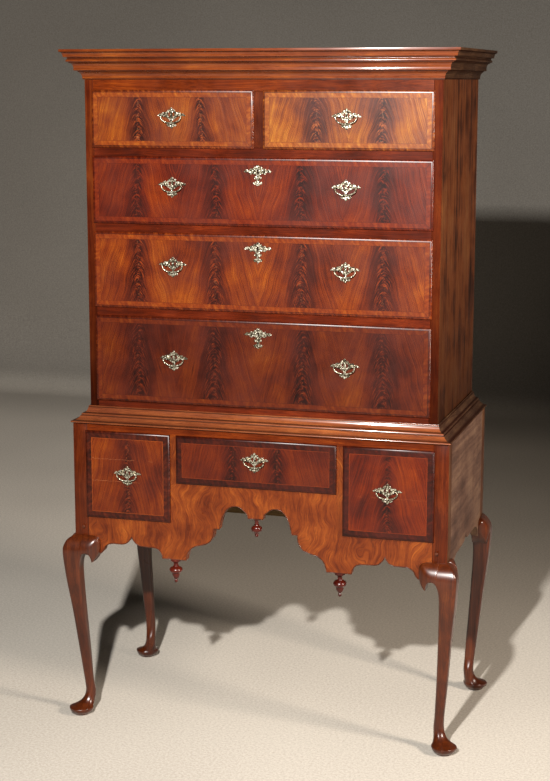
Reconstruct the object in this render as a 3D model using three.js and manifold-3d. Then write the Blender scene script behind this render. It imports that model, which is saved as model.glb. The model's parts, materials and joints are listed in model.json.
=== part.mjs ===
import * as THREE from 'three';
import { mergeVertices } from 'three/addons/utils/BufferGeometryUtils.js';
import Module from 'manifold-3d';

// Flat-top highboy: an upper case of drawers stands inside the waist moulding of a lower case
// on four cabriole legs. Millimetres, X to the right, Y to the back, Z up; the drawers face -Y.

const wasm = await Module();
wasm.setup();

// Overall sizes
const overallHeight = 1780;
const lowerWidth = 1007;
const lowerDepth = 529;
const waistStepSide = 37.5;
const waistStepFront = 34;
const lowerTop = 814;
const kneeHeight = 509;

// Clearances
const seatGap = 0.3;
const drawerSideClearance = 1.5;
const drawerTopClearance = 2;
const boreClearance = 0.4;
const overrun = 5;

// Boards
const upperSideThickness = 23;
const upperBackThickness = 10;
const upperTopThickness = 18;
const upperBottomThickness = 18;
const railThickness = 22;
const lowerSideThickness = 20;
const lowerBackThickness = 20;
const apronThickness = 22;
const postSize = 39.5;
const bladeDepth = 60;
const runnerWidth = 20;
const lowerRunnerHeight = 18;
const guideHeight = 25;
const cleatReach = 43.5;

// Drawer openings: the lips overlap the case all round
const lipOverlap = 4;
const bladeShow = 20.8;
const topRailShow = 101.2;
const baseRailShow = 57.4;
const upperLipShares = [0.19664, 0.23222, 0.26577, 0.30537];
const topDividerShow = 23.8;
const lowerRailShow = 18.4;
const sideRailShow = 51.5;
const centreDrawerHeight = 128.2;
const centreDrawerWidth = 431.6;
const stileShow = 15.9;

// Drawers
const lipProud = 6.7;
const frontInside = 15.3;
const drawerSideThickness = 12;
const drawerBottomThickness = 8;
const drawerBottomRise = 8;
const drawerSideDrop = 5;
const upperDrawerBackGap = 30;
const lowerDrawerBackGap = 54;
const thumbnailWidth = 6.4;
const lockBoltWidth = 16;
const lockBoltThickness = 5;
const lockBoltHeight = 17;
const lockBoltSetback = 5;
const lockCaseWidth = 58;
const lockCaseHeight = 42;
const lockCaseDepth = 4;
const mortiseDepth = 12;
const keyholeDrop = 30.5;
const keyholeRadius = 2.6;
const keyholeSlotWidth = 2.8;
const keyholeSlotHeight = 9.5;

// Pulls and escutcheons
const plateThickness = 1.6;
const pullHalfWidth = 38;
const pullRise = 19;
const pullDrop = 34;
const postSpacing = 33;
const postRadius = 3.4;
const postLength = 11.5;
const pivotStandoff = 8;
const pinBoreRadius = 1.8;
const shankRadius = 2;
const nutRadius = 5;
const nutThickness = 3;
const bailHalfWidth = 27;
const bailDrop = 19.8;
const bailRadius = 2.1;
const escutcheonHalfWidth = 37;
const escutcheonRise = 13.9;
const escutcheonDrop = 38;
const pullSpacing = 456;
const sidePullInset = 117.5;

// Cornice and waist moulding
const corniceHeight = 75.5;
const corniceProjection = 49.5;
const waistHeight = 42;
const waistProjection = 41.5;
const waistGap = 0.5;

// Legs
const kneeProjection = 29;
const frontAnkleOut = 3.4;
const frontAnkleBack = 11;
const frontPadOut = 5;
const rearKneeForward = 26;
const rearAnkleForward = 14;
const rearPadForward = 10;
const rearLegExtra = 2.5;
const ankleHeight = 65;
const ankleInset = 24.6;
const ankleRadius = 13.4;
const padRadius = 34.5;
const padInsetX = 7;
const padInsetY = 12;
const bracketReach = 71.5;
const bracketDrop = 62;
const cornerSteps = 4;

// Apron
const apronDrop = 47.5;
const archCover = 54.1;
const sideApronRise = 61.5;
const curveSteps = 5;

// Pendants
const dropHeight = 66;
const dropRadius = 17.3;
const centreDropHeight = 50.5;
const centreDropRadius = 13.9;
const turnedSides = 12;

// Planes that several pieces share
const upperWidth = lowerWidth - 2 * waistStepSide;
const upperDepth = lowerDepth - waistStepFront;
const lowerHalf = lowerWidth / 2;
const upperHalf = upperWidth / 2;
const lowerFront = -lowerDepth / 2;
const back = lowerDepth / 2;
const upperFront = back - upperDepth;
const upperInner = upperHalf - upperSideThickness;
const upperBase = lowerTop + seatGap;
const upperBackFace = back - upperBackThickness;
const lowerInner = lowerHalf - lowerSideThickness;
const postInner = lowerHalf - postSize;
const postBack = back - postSize;
const lowerBackFace = back - lowerBackThickness;
const bladeThickness = bladeShow + 2 * lipOverlap;
const apronHalf = postInner;
const apronLow = kneeHeight - apronDrop;
const upperLipTop = overallHeight - topRailShow;
const lowerLipTop = lowerTop - lowerRailShow;
const upperDrawerLength = upperDepth - upperBackThickness - upperDrawerBackGap;
const lowerDrawerLength = lowerDepth - lowerBackThickness - lowerDrawerBackGap;

// Turns a closed geometry with outward faces into a solid that can be joined and cut
function toSolid(geometry) {
  const plain = geometry.clone();
  plain.deleteAttribute('normal');
  plain.deleteAttribute('uv');
  const merged = mergeVertices(plain);
  const points = merged.attributes.position;
  const index = merged.index.array;
  const corners = [new THREE.Vector3(), new THREE.Vector3(), new THREE.Vector3()];
  const triangles = [];
  let sixfoldVolume = 0;
  for (let i = 0; i < index.length; i += 3) {
    const [a, b, c] = [index[i], index[i + 1], index[i + 2]];
    if (a === b || b === c || c === a) continue;
    corners[0].fromBufferAttribute(points, a);
    corners[1].fromBufferAttribute(points, b);
    corners[2].fromBufferAttribute(points, c);
    sixfoldVolume += corners[0].dot(corners[1].cross(corners[2]));
    triangles.push([a, b, c]);
  }
  const outward = sixfoldVolume > 0 ? triangles : triangles.map((t) => [t[0], t[2], t[1]]);
  return new wasm.Manifold(new wasm.Mesh({
    numProp: 3,
    vertProperties: new Float32Array(points.array),
    triVerts: new Uint32Array(outward.flat()),
  }));
}

function toGeometry(solid) {
  const mesh = solid.getMesh();
  const geometry = new THREE.BufferGeometry();
  geometry.setAttribute('position', new THREE.BufferAttribute(mesh.vertProperties, 3));
  geometry.setIndex(new THREE.BufferAttribute(mesh.triVerts, 1));
  geometry.computeVertexNormals();
  return geometry;
}

function fan(count) {
  const faces = [];
  for (let i = 1; i < count - 1; i += 1) faces.push([0, i, i + 1]);
  return faces;
}

// Joins rings with the same number of points, in order, and closes both ends
function loft(rings, capFaces = fan(rings[0].length)) {
  const count = rings[0].length;
  const last = (rings.length - 1) * count;
  const index = [];
  for (let ring = 0; ring < rings.length - 1; ring += 1) {
    for (let i = 0; i < count; i += 1) {
      const a = ring * count + i;
      const b = ring * count + ((i + 1) % count);
      index.push(a, b, b + count, a, b + count, a + count);
    }
  }
  for (const [a, b, c] of capFaces) {
    index.push(a, c, b, last + a, last + b, last + c);
  }
  const geometry = new THREE.BufferGeometry().setFromPoints(rings.flat());
  geometry.setIndex(index);
  return toSolid(geometry);
}

function rectangle(xRange, zRange, y) {
  return [
    new THREE.Vector3(xRange[0], y, zRange[0]),
    new THREE.Vector3(xRange[1], y, zRange[0]),
    new THREE.Vector3(xRange[1], y, zRange[1]),
    new THREE.Vector3(xRange[0], y, zRange[1]),
  ];
}

// A board given by its lowest and highest X, Y and Z
function board(xRange, yRange, zRange) {
  return loft([rectangle(xRange, zRange, yRange[0]), rectangle(xRange, zRange, yRange[1])]);
}

// A prism whose outline lies across the named axis and which runs from low to high along it
function prism(outline, axis, low, high) {
  const geometry = new THREE.ExtrudeGeometry(outline, {
    depth: 1,
    bevelEnabled: false,
    curveSegments: curveSteps,
  });
  const points = geometry.attributes.position;
  for (let i = 0; i < points.count; i += 1) {
    const u = points.getX(i);
    const v = points.getY(i);
    const along = points.getZ(i) > 0 ? high : low;
    if (axis === 'x') points.setXYZ(i, along, u, v);
    if (axis === 'y') points.setXYZ(i, u, along, v);
    if (axis === 'z') points.setXYZ(i, u, v, along);
  }
  return toSolid(geometry);
}

function polygonRod(sides, radius, u, v) {
  const points = [];
  for (let i = 0; i < sides; i += 1) {
    const angle = ((i + 1 / 2) / sides) * Math.PI * 2;
    points.push(new THREE.Vector2(u + radius * Math.cos(angle), v + radius * Math.sin(angle)));
  }
  return new THREE.Shape(points);
}

function fromShares(shares, width, height) {
  return shares.map(([u, v]) => new THREE.Vector2(u * width, v * height));
}

// Samples a run of lines [x, z] and quadratic curves [control x, control z, x, z]
function runPoints(start, steps) {
  const path = new THREE.Path();
  path.moveTo(start[0], start[1]);
  for (const step of steps) {
    if (step.length === 2) path.lineTo(step[0], step[1]);
    else path.quadraticCurveTo(step[0], step[1], step[2], step[3]);
  }
  return path.getPoints(curveSteps);
}

function mirrorPoints(points) {
  return points.map((p) => new THREE.Vector2(-p.x, p.y)).reverse();
}

const walnut = { color: 0x7c3a1c, roughness: 0.35, metalness: 0 };
const darkWalnut = { color: 0x5a2d1a, roughness: 0.35, metalness: 0 };
const figuredWalnut = { color: 0x9a4c22, roughness: 0.3, metalness: 0 };
const oldPine = { color: 0x9a7a50, roughness: 0.8, metalness: 0 };
const brass = { color: 0xb8ad85, roughness: 0.35, metalness: 1 };
const iron = { color: 0x4a4743, roughness: 0.6, metalness: 1 };

const highboy = new THREE.Group();
const lowerCase = new THREE.Group();
const upperCase = new THREE.Group();
highboy.add(lowerCase, upperCase);

function addPiece(parent, name, solid, finish) {
  const mesh = new THREE.Mesh(toGeometry(solid), new THREE.MeshStandardMaterial(finish));
  mesh.name = name;
  parent.add(mesh);
  return mesh;
}

// Cabriole leg: shares of knee height, knee projection outward, post size inward, and corner round
const legStationShares = [
  [0.128, -0.386, 0.95, 1],
  [0.177, -0.345, 0.87, 0.92],
  [0.255, -0.2, 0.83, 0.78],
  [0.354, -0.007, 0.74, 0.64],
  [0.452, 0.172, 0.655, 0.52],
  [0.55, 0.345, 0.57, 0.42],
  [0.648, 0.552, 0.495, 0.36],
  [0.747, 0.779, 0.45, 0.3],
  [0.845, 0.931, 0.41, 0.26],
  [0.894, 0.99, 0.6, 0.24],
  [0.923, 1, 0.91, 0.22],
  [0.946, 0.925, 1, 0.2],
  [0.968, 0.76, 1, 0.18],
  [0.986, 0.48, 1, 0.14],
  [1, 0.04, 1, 0.1],
];

// Where each lean of the leg runs: full below the first share of knee height, none above the second
const outLeanShares = [0.3, 0.65];
const backLeanShares = [0.3, 0.9];
const rearKneeShares = [0.97, 1];

// Pad foot below the ankle: shares of ankle height, pad radius and the way from ankle to pad centre
const footStationShares = [
  [0, 0.64, 1],
  [0.06, 0.66, 1],
  [0.12, 0.82, 1],
  [0.2, 0.97, 1],
  [0.25, 1, 1],
  [0.285, 0.985, 1],
  [0.323, 0.949, 0.95],
  [0.385, 0.858, 0.82],
  [0.46, 0.688, 0.58],
  [0.523, 0.514, 0.337],
  [0.646, 0.449, 0.184],
  [0.77, 0.42, 0.08],
  [0.88, 0.4, 0.03],
];

// Knee bracket seen square on: shares of its reach inward and its drop below the knee top
const bracketFaceShares = [
  [0.14, 0], [0.7, 0.008], [0.8, 0.025], [0.927, 0.1], [0.987, 0.215], [1, 0.355], [0.993, 0.435],
  [0.955, 0.62], [0.82, 0.826], [0.66, 1], [0.68, 0.865], [0.632, 0.777], [0.531, 0.713],
  [0.415, 0.748], [0.285, 0.865], [0.21, 1.04], [0.18, 1.27], [0.14, 1.27],
];

// Its swell: shares of the knee projection outward and of the drop
const bracketSwellShares = [
  [0.02, 0], [0.33, 0.073], [0.57, 0.17], [0.76, 0.306], [0.895, 0.44], [0.97, 0.605],
  [0.96, 0.847], [0.925, 1.113], [0.9, 1.28], [-0.74, 1.28], [-0.74, 0.76], [0, 0.76], [0, 0],
];

// Its taper seen from above: shares of the reach inward and of the knee projection outward
const bracketPlanShares = [
  [0.13, 1], [0.45, 0.98], [0.7, 0.92], [0.88, 0.76], [1, 0.5], [1, -0.8], [0.13, -0.8],
];

// A ring of points round a rectangle whose corners are rounded, up to a full circle
function roundedRing(xRange, yRange, z, roundShare) {
  const centre = [(xRange[0] + xRange[1]) / 2, (yRange[0] + yRange[1]) / 2];
  const half = [(xRange[1] - xRange[0]) / 2, (yRange[1] - yRange[0]) / 2];
  const radius = roundShare * Math.min(half[0], half[1]);
  const ring = [];
  for (let corner = 0; corner < 4; corner += 1) {
    const side = [corner === 0 || corner === 3 ? 1 : -1, corner < 2 ? 1 : -1];
    for (let step = 0; step < cornerSteps; step += 1) {
      const angle = ((corner + (step + 1 / 2) / cornerSteps) * Math.PI) / 2;
      ring.push(new THREE.Vector3(
        centre[0] + side[0] * (half[0] - radius) + radius * Math.cos(angle),
        centre[1] + side[1] * (half[1] - radius) + radius * Math.sin(angle),
        z,
      ));
    }
  }
  return ring;
}

function leanShare([full, none], height) {
  return 1 - THREE.MathUtils.clamp(THREE.MathUtils.inverseLerp(full, none, height), 0, 1);
}

// How far a leg leans away from the case in X and Y at a share of knee height
function legLean(isRear, height) {
  const out = leanShare(outLeanShares, height);
  if (!isRear) return [out * frontAnkleOut, -leanShare(backLeanShares, height) * frontAnkleBack];
  const forward = THREE.MathUtils.lerp(rearKneeForward, rearAnkleForward, out);
  return [0, -leanShare(rearKneeShares, height) * forward];
}

// The carved leg below the post, at the corner where X and Y are largest
function legRings(isRear) {
  const lean = legLean(isRear, 0);
  const padLean = isRear ? [0, -rearPadForward] : [frontPadOut, 0];
  const padCentre = [lowerHalf - padInsetX + padLean[0], back - padInsetY + padLean[1]];
  const ankleCentre = [lowerHalf - ankleInset + lean[0], back - ankleInset + lean[1]];
  const rings = footStationShares.map(([height, size, way]) => {
    const radius = size * padRadius;
    const x = THREE.MathUtils.lerp(ankleCentre[0], padCentre[0], way);
    const y = THREE.MathUtils.lerp(ankleCentre[1], padCentre[1], way);
    return roundedRing([x - radius, x + radius], [y - radius, y + radius], height * ankleHeight, 1);
  });
  for (const [height, outward, inward, roundShare] of legStationShares) {
    const [leanX, leanY] = legLean(isRear, height);
    const out = outward * kneeProjection;
    const inner = inward * postSize + (isRear ? rearLegExtra : 0);
    rings.push(roundedRing(
      [lowerHalf - Math.min(inner - leanX, postSize), lowerHalf + out + leanX],
      [back - Math.min(inner - leanY, postSize), back + out + leanY],
      height * kneeHeight,
      roundShare,
    ));
  }
  return rings;
}

// A knee bracket along X or Y, in the same corner
function kneeBracket(along) {
  const faceEdge = along === 'x' ? lowerHalf : back;
  const swellEdge = along === 'x' ? back : lowerHalf;
  const face = bracketFaceShares.map(([reach, drop]) => new THREE.Vector2(
    faceEdge - reach * bracketReach,
    kneeHeight - drop * bracketDrop,
  ));
  const swell = bracketSwellShares.map(([out, drop]) => new THREE.Vector2(
    swellEdge + out * kneeProjection,
    kneeHeight - drop * bracketDrop,
  ));
  const plan = bracketPlanShares.map(([reach, out]) => {
    const run = faceEdge - reach * bracketReach;
    const swelling = swellEdge + out * kneeProjection;
    return along === 'x' ? new THREE.Vector2(run, swelling) : new THREE.Vector2(swelling, run);
  });
  const across = along === 'x' ? 'y' : 'x';
  const deep = swellEdge - 2 * postSize;
  const proud = swellEdge + 2 * kneeProjection;
  const low = kneeHeight - 2 * bracketDrop;
  const runLow = faceEdge - 2 * bracketReach;
  return prism(new THREE.Shape(face), across, deep, proud)
    .intersect(prism(new THREE.Shape(swell), along, runLow, faceEdge + overrun))
    .intersect(prism(new THREE.Shape(plan), 'z', low, kneeHeight));
}

function mirrored(solid, sideX, sideY) {
  const geometry = toGeometry(solid);
  geometry.scale(sideX, sideY, 1);
  return toSolid(geometry);
}

function cabrioleLeg(sideX, sideY) {
  const isRear = sideY > 0;
  const shoulder = legStationShares[11][0] * kneeHeight;
  const post = board([postInner, lowerHalf], [postBack, back], [shoulder, lowerTop]);
  let leg = loft(legRings(isRear)).add(post).add(kneeBracket('y'));
  if (!isRear) leg = leg.add(kneeBracket('x'));
  return mirrored(leg, sideX, sideY);
}

for (const [name, sideX, sideY] of [
  ['leg_front_left', -1, -1],
  ['leg_front_right', 1, -1],
  ['leg_back_left', -1, 1],
  ['leg_back_right', 1, 1],
]) addPiece(lowerCase, name, cabrioleLeg(sideX, sideY), darkWalnut);

// Lower drawer openings, from the lips
const sideDrawerHeight = lowerLipTop - kneeHeight - sideRailShow;
const openingTop = lowerLipTop - lipOverlap;
const sideOpeningBottom = lowerLipTop - sideDrawerHeight + lipOverlap;
const centreOpeningBottom = lowerLipTop - centreDrawerHeight + lipOverlap;
const centreOpeningHalf = centreDrawerWidth / 2 - lipOverlap;
const apronRise = centreOpeningBottom - archCover - apronLow;
const sideOpeningInner = centreDrawerWidth / 2 + stileShow + lipOverlap;

// Right half of the apron's lower edge, from the middle: shares of half the apron and of its rise
const apronEdgeShares = [
  [0.0442, 0.8087],
  [0.0442, 0.889, 0.0668, 0.9275],
  [0.0905, 1, 0.1164, 1],
  [0.1595, 1, 0.1832, 0.8633],
  [0.2026, 0.7606, 0.2112, 0.5873],
  [0.2435, 0.5873],
  [0.2414, 0.4268, 0.2759, 0.337],
  [0.2974, 0.2985, 0.3384, 0.2728],
  [0.4052, 0.2279, 0.4099, 0],
  [0.5522, 0],
  [0.5603, 0.1765, 0.6121, 0.1765],
  [0.681, 0.1829],
  [0.7198, 0.1958, 0.7392, 0.3325],
  [0.7586, 0.1958, 0.8017, 0.1926],
  [0.8534, 0.1926],
  [0.8922, 0.1829, 0.9052, 0.1059],
  [0.9138, 0.0289, 0.931, 0.0032],
  [1, 0.0032],
];

function scaleRun(steps, width, height, base) {
  return steps.map((step) => step.map((s, i) => (i % 2 === 0 ? s * width : base + s * height)));
}

function frontApron() {
  const steps = scaleRun(apronEdgeShares, apronHalf, apronRise, apronLow);
  const right = runPoints([0, steps[0][1]], steps);
  right.push(
    new THREE.Vector2(apronHalf, sideOpeningBottom),
    new THREE.Vector2(sideOpeningInner, sideOpeningBottom),
    new THREE.Vector2(sideOpeningInner, openingTop),
    new THREE.Vector2(centreOpeningHalf, openingTop),
    new THREE.Vector2(centreOpeningHalf, centreOpeningBottom),
  );
  const outline = new THREE.Shape([...right, ...mirrorPoints(right.slice(1))]);
  return prism(outline, 'y', lowerFront, lowerFront + apronThickness);
}
addPiece(lowerCase, 'front_apron', frontApron(), figuredWalnut);

const lowerTopRail = board(
  [-postInner, postInner],
  [lowerFront, lowerFront + bladeDepth],
  [openingTop, lowerTop],
);
addPiece(lowerCase, 'lower_top_rail', lowerTopRail, walnut);

// Half of the side board's lower edge, from the middle cusp
const sideEdgeShares = [
  [0.027, 0.69, 0.15, 0.66],
  [0.53, 0.65],
  [0.71, 0.64, 0.78, 0.43],
  [0.83, 0.3, 0.85, 0.008],
  [1, 0.008],
];

// Side board with the runner, guide and cleat that carry the drawer and the upper case
function lowerSide(sideX) {
  const steps = scaleRun(sideEdgeShares, postBack, sideApronRise, apronLow);
  const rear = runPoints([0, apronLow + sideApronRise], steps);
  rear.push(new THREE.Vector2(postBack, lowerTop));
  const outline = new THREE.Shape([...rear, ...mirrorPoints(rear.slice(1))]);
  const wall = prism(outline, 'x', lowerInner, lowerHalf);
  const run = [-postBack, postBack];
  const embed = lowerHalf - lowerSideThickness / 2;
  const cleat = board(
    [lowerHalf - lowerSideThickness - cleatReach, embed],
    [lowerFront + bladeDepth, postBack],
    [openingTop, lowerTop],
  );
  const runner = board(
    [postInner - runnerWidth, embed],
    run,
    [sideOpeningBottom - lowerRunnerHeight, sideOpeningBottom],
  );
  const guide = board(
    [postInner, embed],
    run,
    [sideOpeningBottom - lowerRunnerHeight, sideOpeningBottom + guideHeight],
  );
  return mirrored(wall.add(cleat).add(runner).add(guide), sideX, 1);
}
addPiece(lowerCase, 'lower_side_left', lowerSide(-1), walnut);
addPiece(lowerCase, 'lower_side_right', lowerSide(1), walnut);

// Back board with the two bearers that carry the inner edges of the lower drawers
function lowerBack() {
  const panel = board([-postInner, postInner], [lowerBackFace, back], [apronLow, lowerTop]);
  const bearerRun = [lowerFront + apronThickness, back - lowerBackThickness / 2];
  const middle = (centreOpeningHalf + sideOpeningInner) / 2;
  const runnerHalf = (sideOpeningInner - centreOpeningHalf) / 2 + runnerWidth;
  const bearers = [];
  for (const side of [-1, 1]) {
    const lowShelf = [side * middle - runnerHalf, side * middle + runnerHalf];
    const guideFaces = [side * centreOpeningHalf, side * sideOpeningInner].sort((a, b) => a - b);
    const highShelf = [side * (centreOpeningHalf - runnerWidth), side * sideOpeningInner];
    highShelf.sort((a, b) => a - b);
    bearers.push(
      board(lowShelf, bearerRun, [sideOpeningBottom - lowerRunnerHeight, sideOpeningBottom]),
      board(highShelf, bearerRun, [centreOpeningBottom - lowerRunnerHeight, centreOpeningBottom]),
      board(guideFaces, bearerRun, [
        sideOpeningBottom - lowerRunnerHeight,
        centreOpeningBottom + guideHeight,
      ]),
    );
  }
  return bearers.reduce((whole, bearer) => whole.add(bearer), panel);
}
addPiece(lowerCase, 'lower_back', lowerBack(), oldPine);

// Mouldings: share of projection outward and share of height, straight runs and curves
const corniceShares = [
  [0.065, 0],
  [0.065, 0.026],
  [0.085, 0.026],
  [0.105, 0.205, 0.273, 0.258],
  [0.273, 0.285],
  [0.343, 0.285],
  [0.47, 0.29, 0.42, 0.385],
  [0.434, 0.41],
  [0.475, 0.53, 0.616, 0.55],
  [0.616, 0.576],
  [0.64, 0.59],
  [0.76, 0.63, 0.64, 0.67],
  [0.667, 0.682],
  [0.7, 0.72, 0.818, 0.735],
  [0.838, 0.768],
  [0.858, 0.88, 0.97, 0.907],
  [1, 0.907],
  [1, 1],
  [0, 1],
];
const waistShares = [
  [0.964, 0],
  [1.02, 0.06, 0.94, 0.13],
  [0.88, 0.13],
  [0.66, 0.18, 0.494, 0.417],
  [0.458, 0.417],
  [0.458, 0.476],
  [0.44, 0.57, 0.373, 0.571],
  [0.289, 0.571],
  [0.13, 0.66, 0.108, 0.917],
  [0.084, 0.917],
  [0.084, 1],
  [0, 1],
];

// A moulding round the front and both sides, mitred at the front corners
function mouldingRound(shares, projection, height, base, innerHalf, innerFront) {
  const profile = runPoints([0, 0], scaleRun(shares, projection, height, 0)).slice(0, -1);
  profile.push(new THREE.Vector2(0, height));
  const stations = [
    { x: -innerHalf, y: back, outX: -1, outY: 0 },
    { x: -innerHalf, y: innerFront, outX: -1, outY: -1 },
    { x: innerHalf, y: innerFront, outX: 1, outY: -1 },
    { x: innerHalf, y: back, outX: 1, outY: 0 },
  ];
  const rings = stations.map(({ x, y, outX, outY }) => profile.map((p) => (
    new THREE.Vector3(x + outX * p.x, y + outY * p.x, base + p.y)
  )));
  return loft(rings, THREE.ShapeUtils.triangulateShape(profile, []));
}

const waist = mouldingRound(
  waistShares,
  waistProjection - waistGap,
  waistHeight,
  lowerTop,
  upperHalf + waistGap,
  upperFront - waistGap,
);
addPiece(lowerCase, 'waist_moulding', waist, walnut);

// Turned drops: shares of radius and of height below the seat
const sideDropShares = [
  [0, 0], [0.81, 0], [0.79, 0.1], [0.52, 0.144], [0.38, 0.19], [0.37, 0.26], [0.42, 0.31],
  [0.55, 0.333], [0.84, 0.373], [0.98, 0.432], [1, 0.477], [0.925, 0.53], [0.72, 0.576],
  [0.555, 0.6], [0.565, 0.636], [0.54, 0.697], [0.457, 0.758], [0.324, 0.815], [0.2, 0.852],
  [0.25, 0.888], [0.26, 0.924], [0.14, 0.994], [0, 1],
];
const centreDropShares = [
  [0, 0], [0.62, 0], [0.62, 0.08], [0.45, 0.14], [0.38, 0.22], [0.375, 0.35], [0.45, 0.395],
  [0.72, 0.42], [0.93, 0.475], [1, 0.565], [0.95, 0.65], [0.75, 0.71], [0.54, 0.745],
  [0.42, 0.79], [0.23, 0.845], [0.29, 0.865], [0.33, 0.915], [0.12, 0.998], [0, 1],
];

function pendant(shares, radius, height) {
  const profile = fromShares(shares, radius, -height);
  const geometry = new THREE.LatheGeometry(profile, turnedSides);
  geometry.rotateX(Math.PI / 2);
  return toSolid(geometry);
}

const dropBlockShares = [apronEdgeShares[8][2], apronEdgeShares[9][0]];
const dropBlockMiddle = ((dropBlockShares[0] + dropBlockShares[1]) / 2) * apronHalf;
const apronMiddle = lowerFront + apronThickness / 2;
for (const [name, x] of [['pendant_left', -dropBlockMiddle], ['pendant_right', dropBlockMiddle]]) {
  const drop = addPiece(lowerCase, name, pendant(sideDropShares, dropRadius, dropHeight), darkWalnut);
  drop.position.set(x, apronMiddle, apronLow - seatGap);
}
const centreSolid = pendant(centreDropShares, centreDropRadius, centreDropHeight);
const centreDrop = addPiece(lowerCase, 'pendant_centre', centreSolid, darkWalnut);
centreDrop.position.set(0, apronMiddle, apronLow + apronEdgeShares[0][1] * apronRise - seatGap);

// Rows of the upper case, from the top down, as the lips' tops and bottoms
const upperRows = [];
const bladeCount = upperLipShares.length - 1;
const lipRun = upperLipTop - lowerTop - baseRailShow - bladeCount * bladeShow;
let nextLipTop = upperLipTop;
for (const share of upperLipShares) {
  const lipBottom = nextLipTop - share * lipRun;
  upperRows.push({ lipTop: nextLipTop, lipBottom });
  nextLipTop = lipBottom - bladeShow;
}

// Upper case boards
function upperSide(sideX) {
  const wall = board([upperInner, upperHalf], [upperFront, back], [upperBase, overallHeight]);
  const rabbet = board(
    [upperInner - overrun, upperInner + upperBackThickness],
    [upperBackFace, back + overrun],
    [upperBase - overrun, overallHeight - upperTopThickness],
  );
  const runners = upperRows.map(({ lipBottom }) => board(
    [upperInner - runnerWidth, upperInner + upperSideThickness / 2],
    [upperFront + bladeDepth, upperBackFace],
    [lipBottom + lipOverlap - bladeThickness, lipBottom + lipOverlap],
  ));
  const whole = runners.reduce((sum, runner) => sum.add(runner), wall.subtract(rabbet));
  return mirrored(whole, sideX, 1);
}
addPiece(upperCase, 'upper_side_left', upperSide(-1), walnut);
addPiece(upperCase, 'upper_side_right', upperSide(1), walnut);

const upperBack = board(
  [-upperInner - upperBackThickness, upperInner + upperBackThickness],
  [upperBackFace, back],
  [upperBase, overallHeight - upperTopThickness],
);
addPiece(upperCase, 'upper_back', upperBack, oldPine);

const upperTop = board(
  [-upperInner, upperInner],
  [upperFront, back],
  [overallHeight - upperTopThickness, overallHeight],
);
addPiece(upperCase, 'upper_top', upperTop, walnut);

const upperTopRail = board(
  [-upperInner, upperInner],
  [upperFront, upperFront + railThickness],
  [upperLipTop - lipOverlap, overallHeight - upperTopThickness],
);
addPiece(upperCase, 'upper_top_rail', upperTopRail, walnut);

// Bottom board with the base rail that shows above the waist moulding
const lastRow = upperRows[upperRows.length - 1];
const upperBottom = board(
  [-upperInner, upperInner],
  [upperFront, upperBackFace],
  [upperBase, upperBase + upperBottomThickness],
).add(board(
  [-upperInner, upperInner],
  [upperFront, upperFront + railThickness],
  [upperBase, lastRow.lipBottom + lipOverlap],
));
addPiece(upperCase, 'upper_bottom', upperBottom, walnut);

// Blades between the rows; each holds the mortise that the lock bolt below it enters
const mortiseHalf = lockBoltWidth / 2 + drawerSideClearance;
const boltFront = upperFront + lockBoltSetback;
for (let row = 0; row < bladeCount; row += 1) {
  const top = upperRows[row].lipBottom + lipOverlap;
  const blade = board(
    [-upperInner, upperInner],
    [upperFront, upperFront + bladeDepth],
    [top - bladeThickness, top],
  );
  const mortise = board(
    [-mortiseHalf, mortiseHalf],
    [boltFront - drawerSideClearance, boltFront + lockBoltThickness + drawerSideClearance],
    [top - bladeThickness - overrun, top - bladeThickness + mortiseDepth],
  );
  addPiece(upperCase, `drawer_blade_${row + 1}`, blade.subtract(mortise), walnut);
}

// Divider between the two top drawers, with the runner and guide behind it
function topDivider() {
  const floor = upperRows[0].lipBottom + lipOverlap;
  const half = topDividerShow / 2 + lipOverlap;
  const stile = board([-half, half], [upperFront, upperFront + bladeDepth], [
    floor,
    upperLipTop - lipOverlap,
  ]);
  const run = [upperFront + bladeDepth, upperBackFace];
  const runner = board([-half - runnerWidth, half + runnerWidth], run, [floor - bladeThickness, floor]);
  const guide = board([-half, half], run, [floor - bladeThickness, floor + guideHeight]);
  return stile.add(runner).add(guide);
}
addPiece(upperCase, 'top_drawer_divider', topDivider(), walnut);

const corniceBase = overallHeight - corniceHeight;
const cornice = mouldingRound(
  corniceShares,
  corniceProjection,
  corniceHeight,
  corniceBase,
  upperHalf,
  upperFront,
);
addPiece(upperCase, 'cornice', cornice, walnut);

// Drawer front: thumbnail lip as shares of its width inward and of the proud face outward
const thumbnailShares = [
  [0, 0], [0, 0.24], [0.11, 0.5], [0.36, 0.73], [0.72, 0.85], [1, 0.88], [1, 1],
];

function keyholePath(u, v) {
  const half = keyholeSlotWidth / 2;
  const shoulder = Math.sqrt(keyholeRadius ** 2 - half ** 2);
  const startAngle = Math.atan2(-shoulder, half);
  const path = new THREE.Path();
  path.moveTo(u - half, v - shoulder - keyholeSlotHeight);
  path.lineTo(u + half, v - shoulder - keyholeSlotHeight);
  path.absarc(u, v, keyholeRadius, startAngle, Math.PI - startAngle, false);
  path.closePath();
  return path;
}

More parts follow.
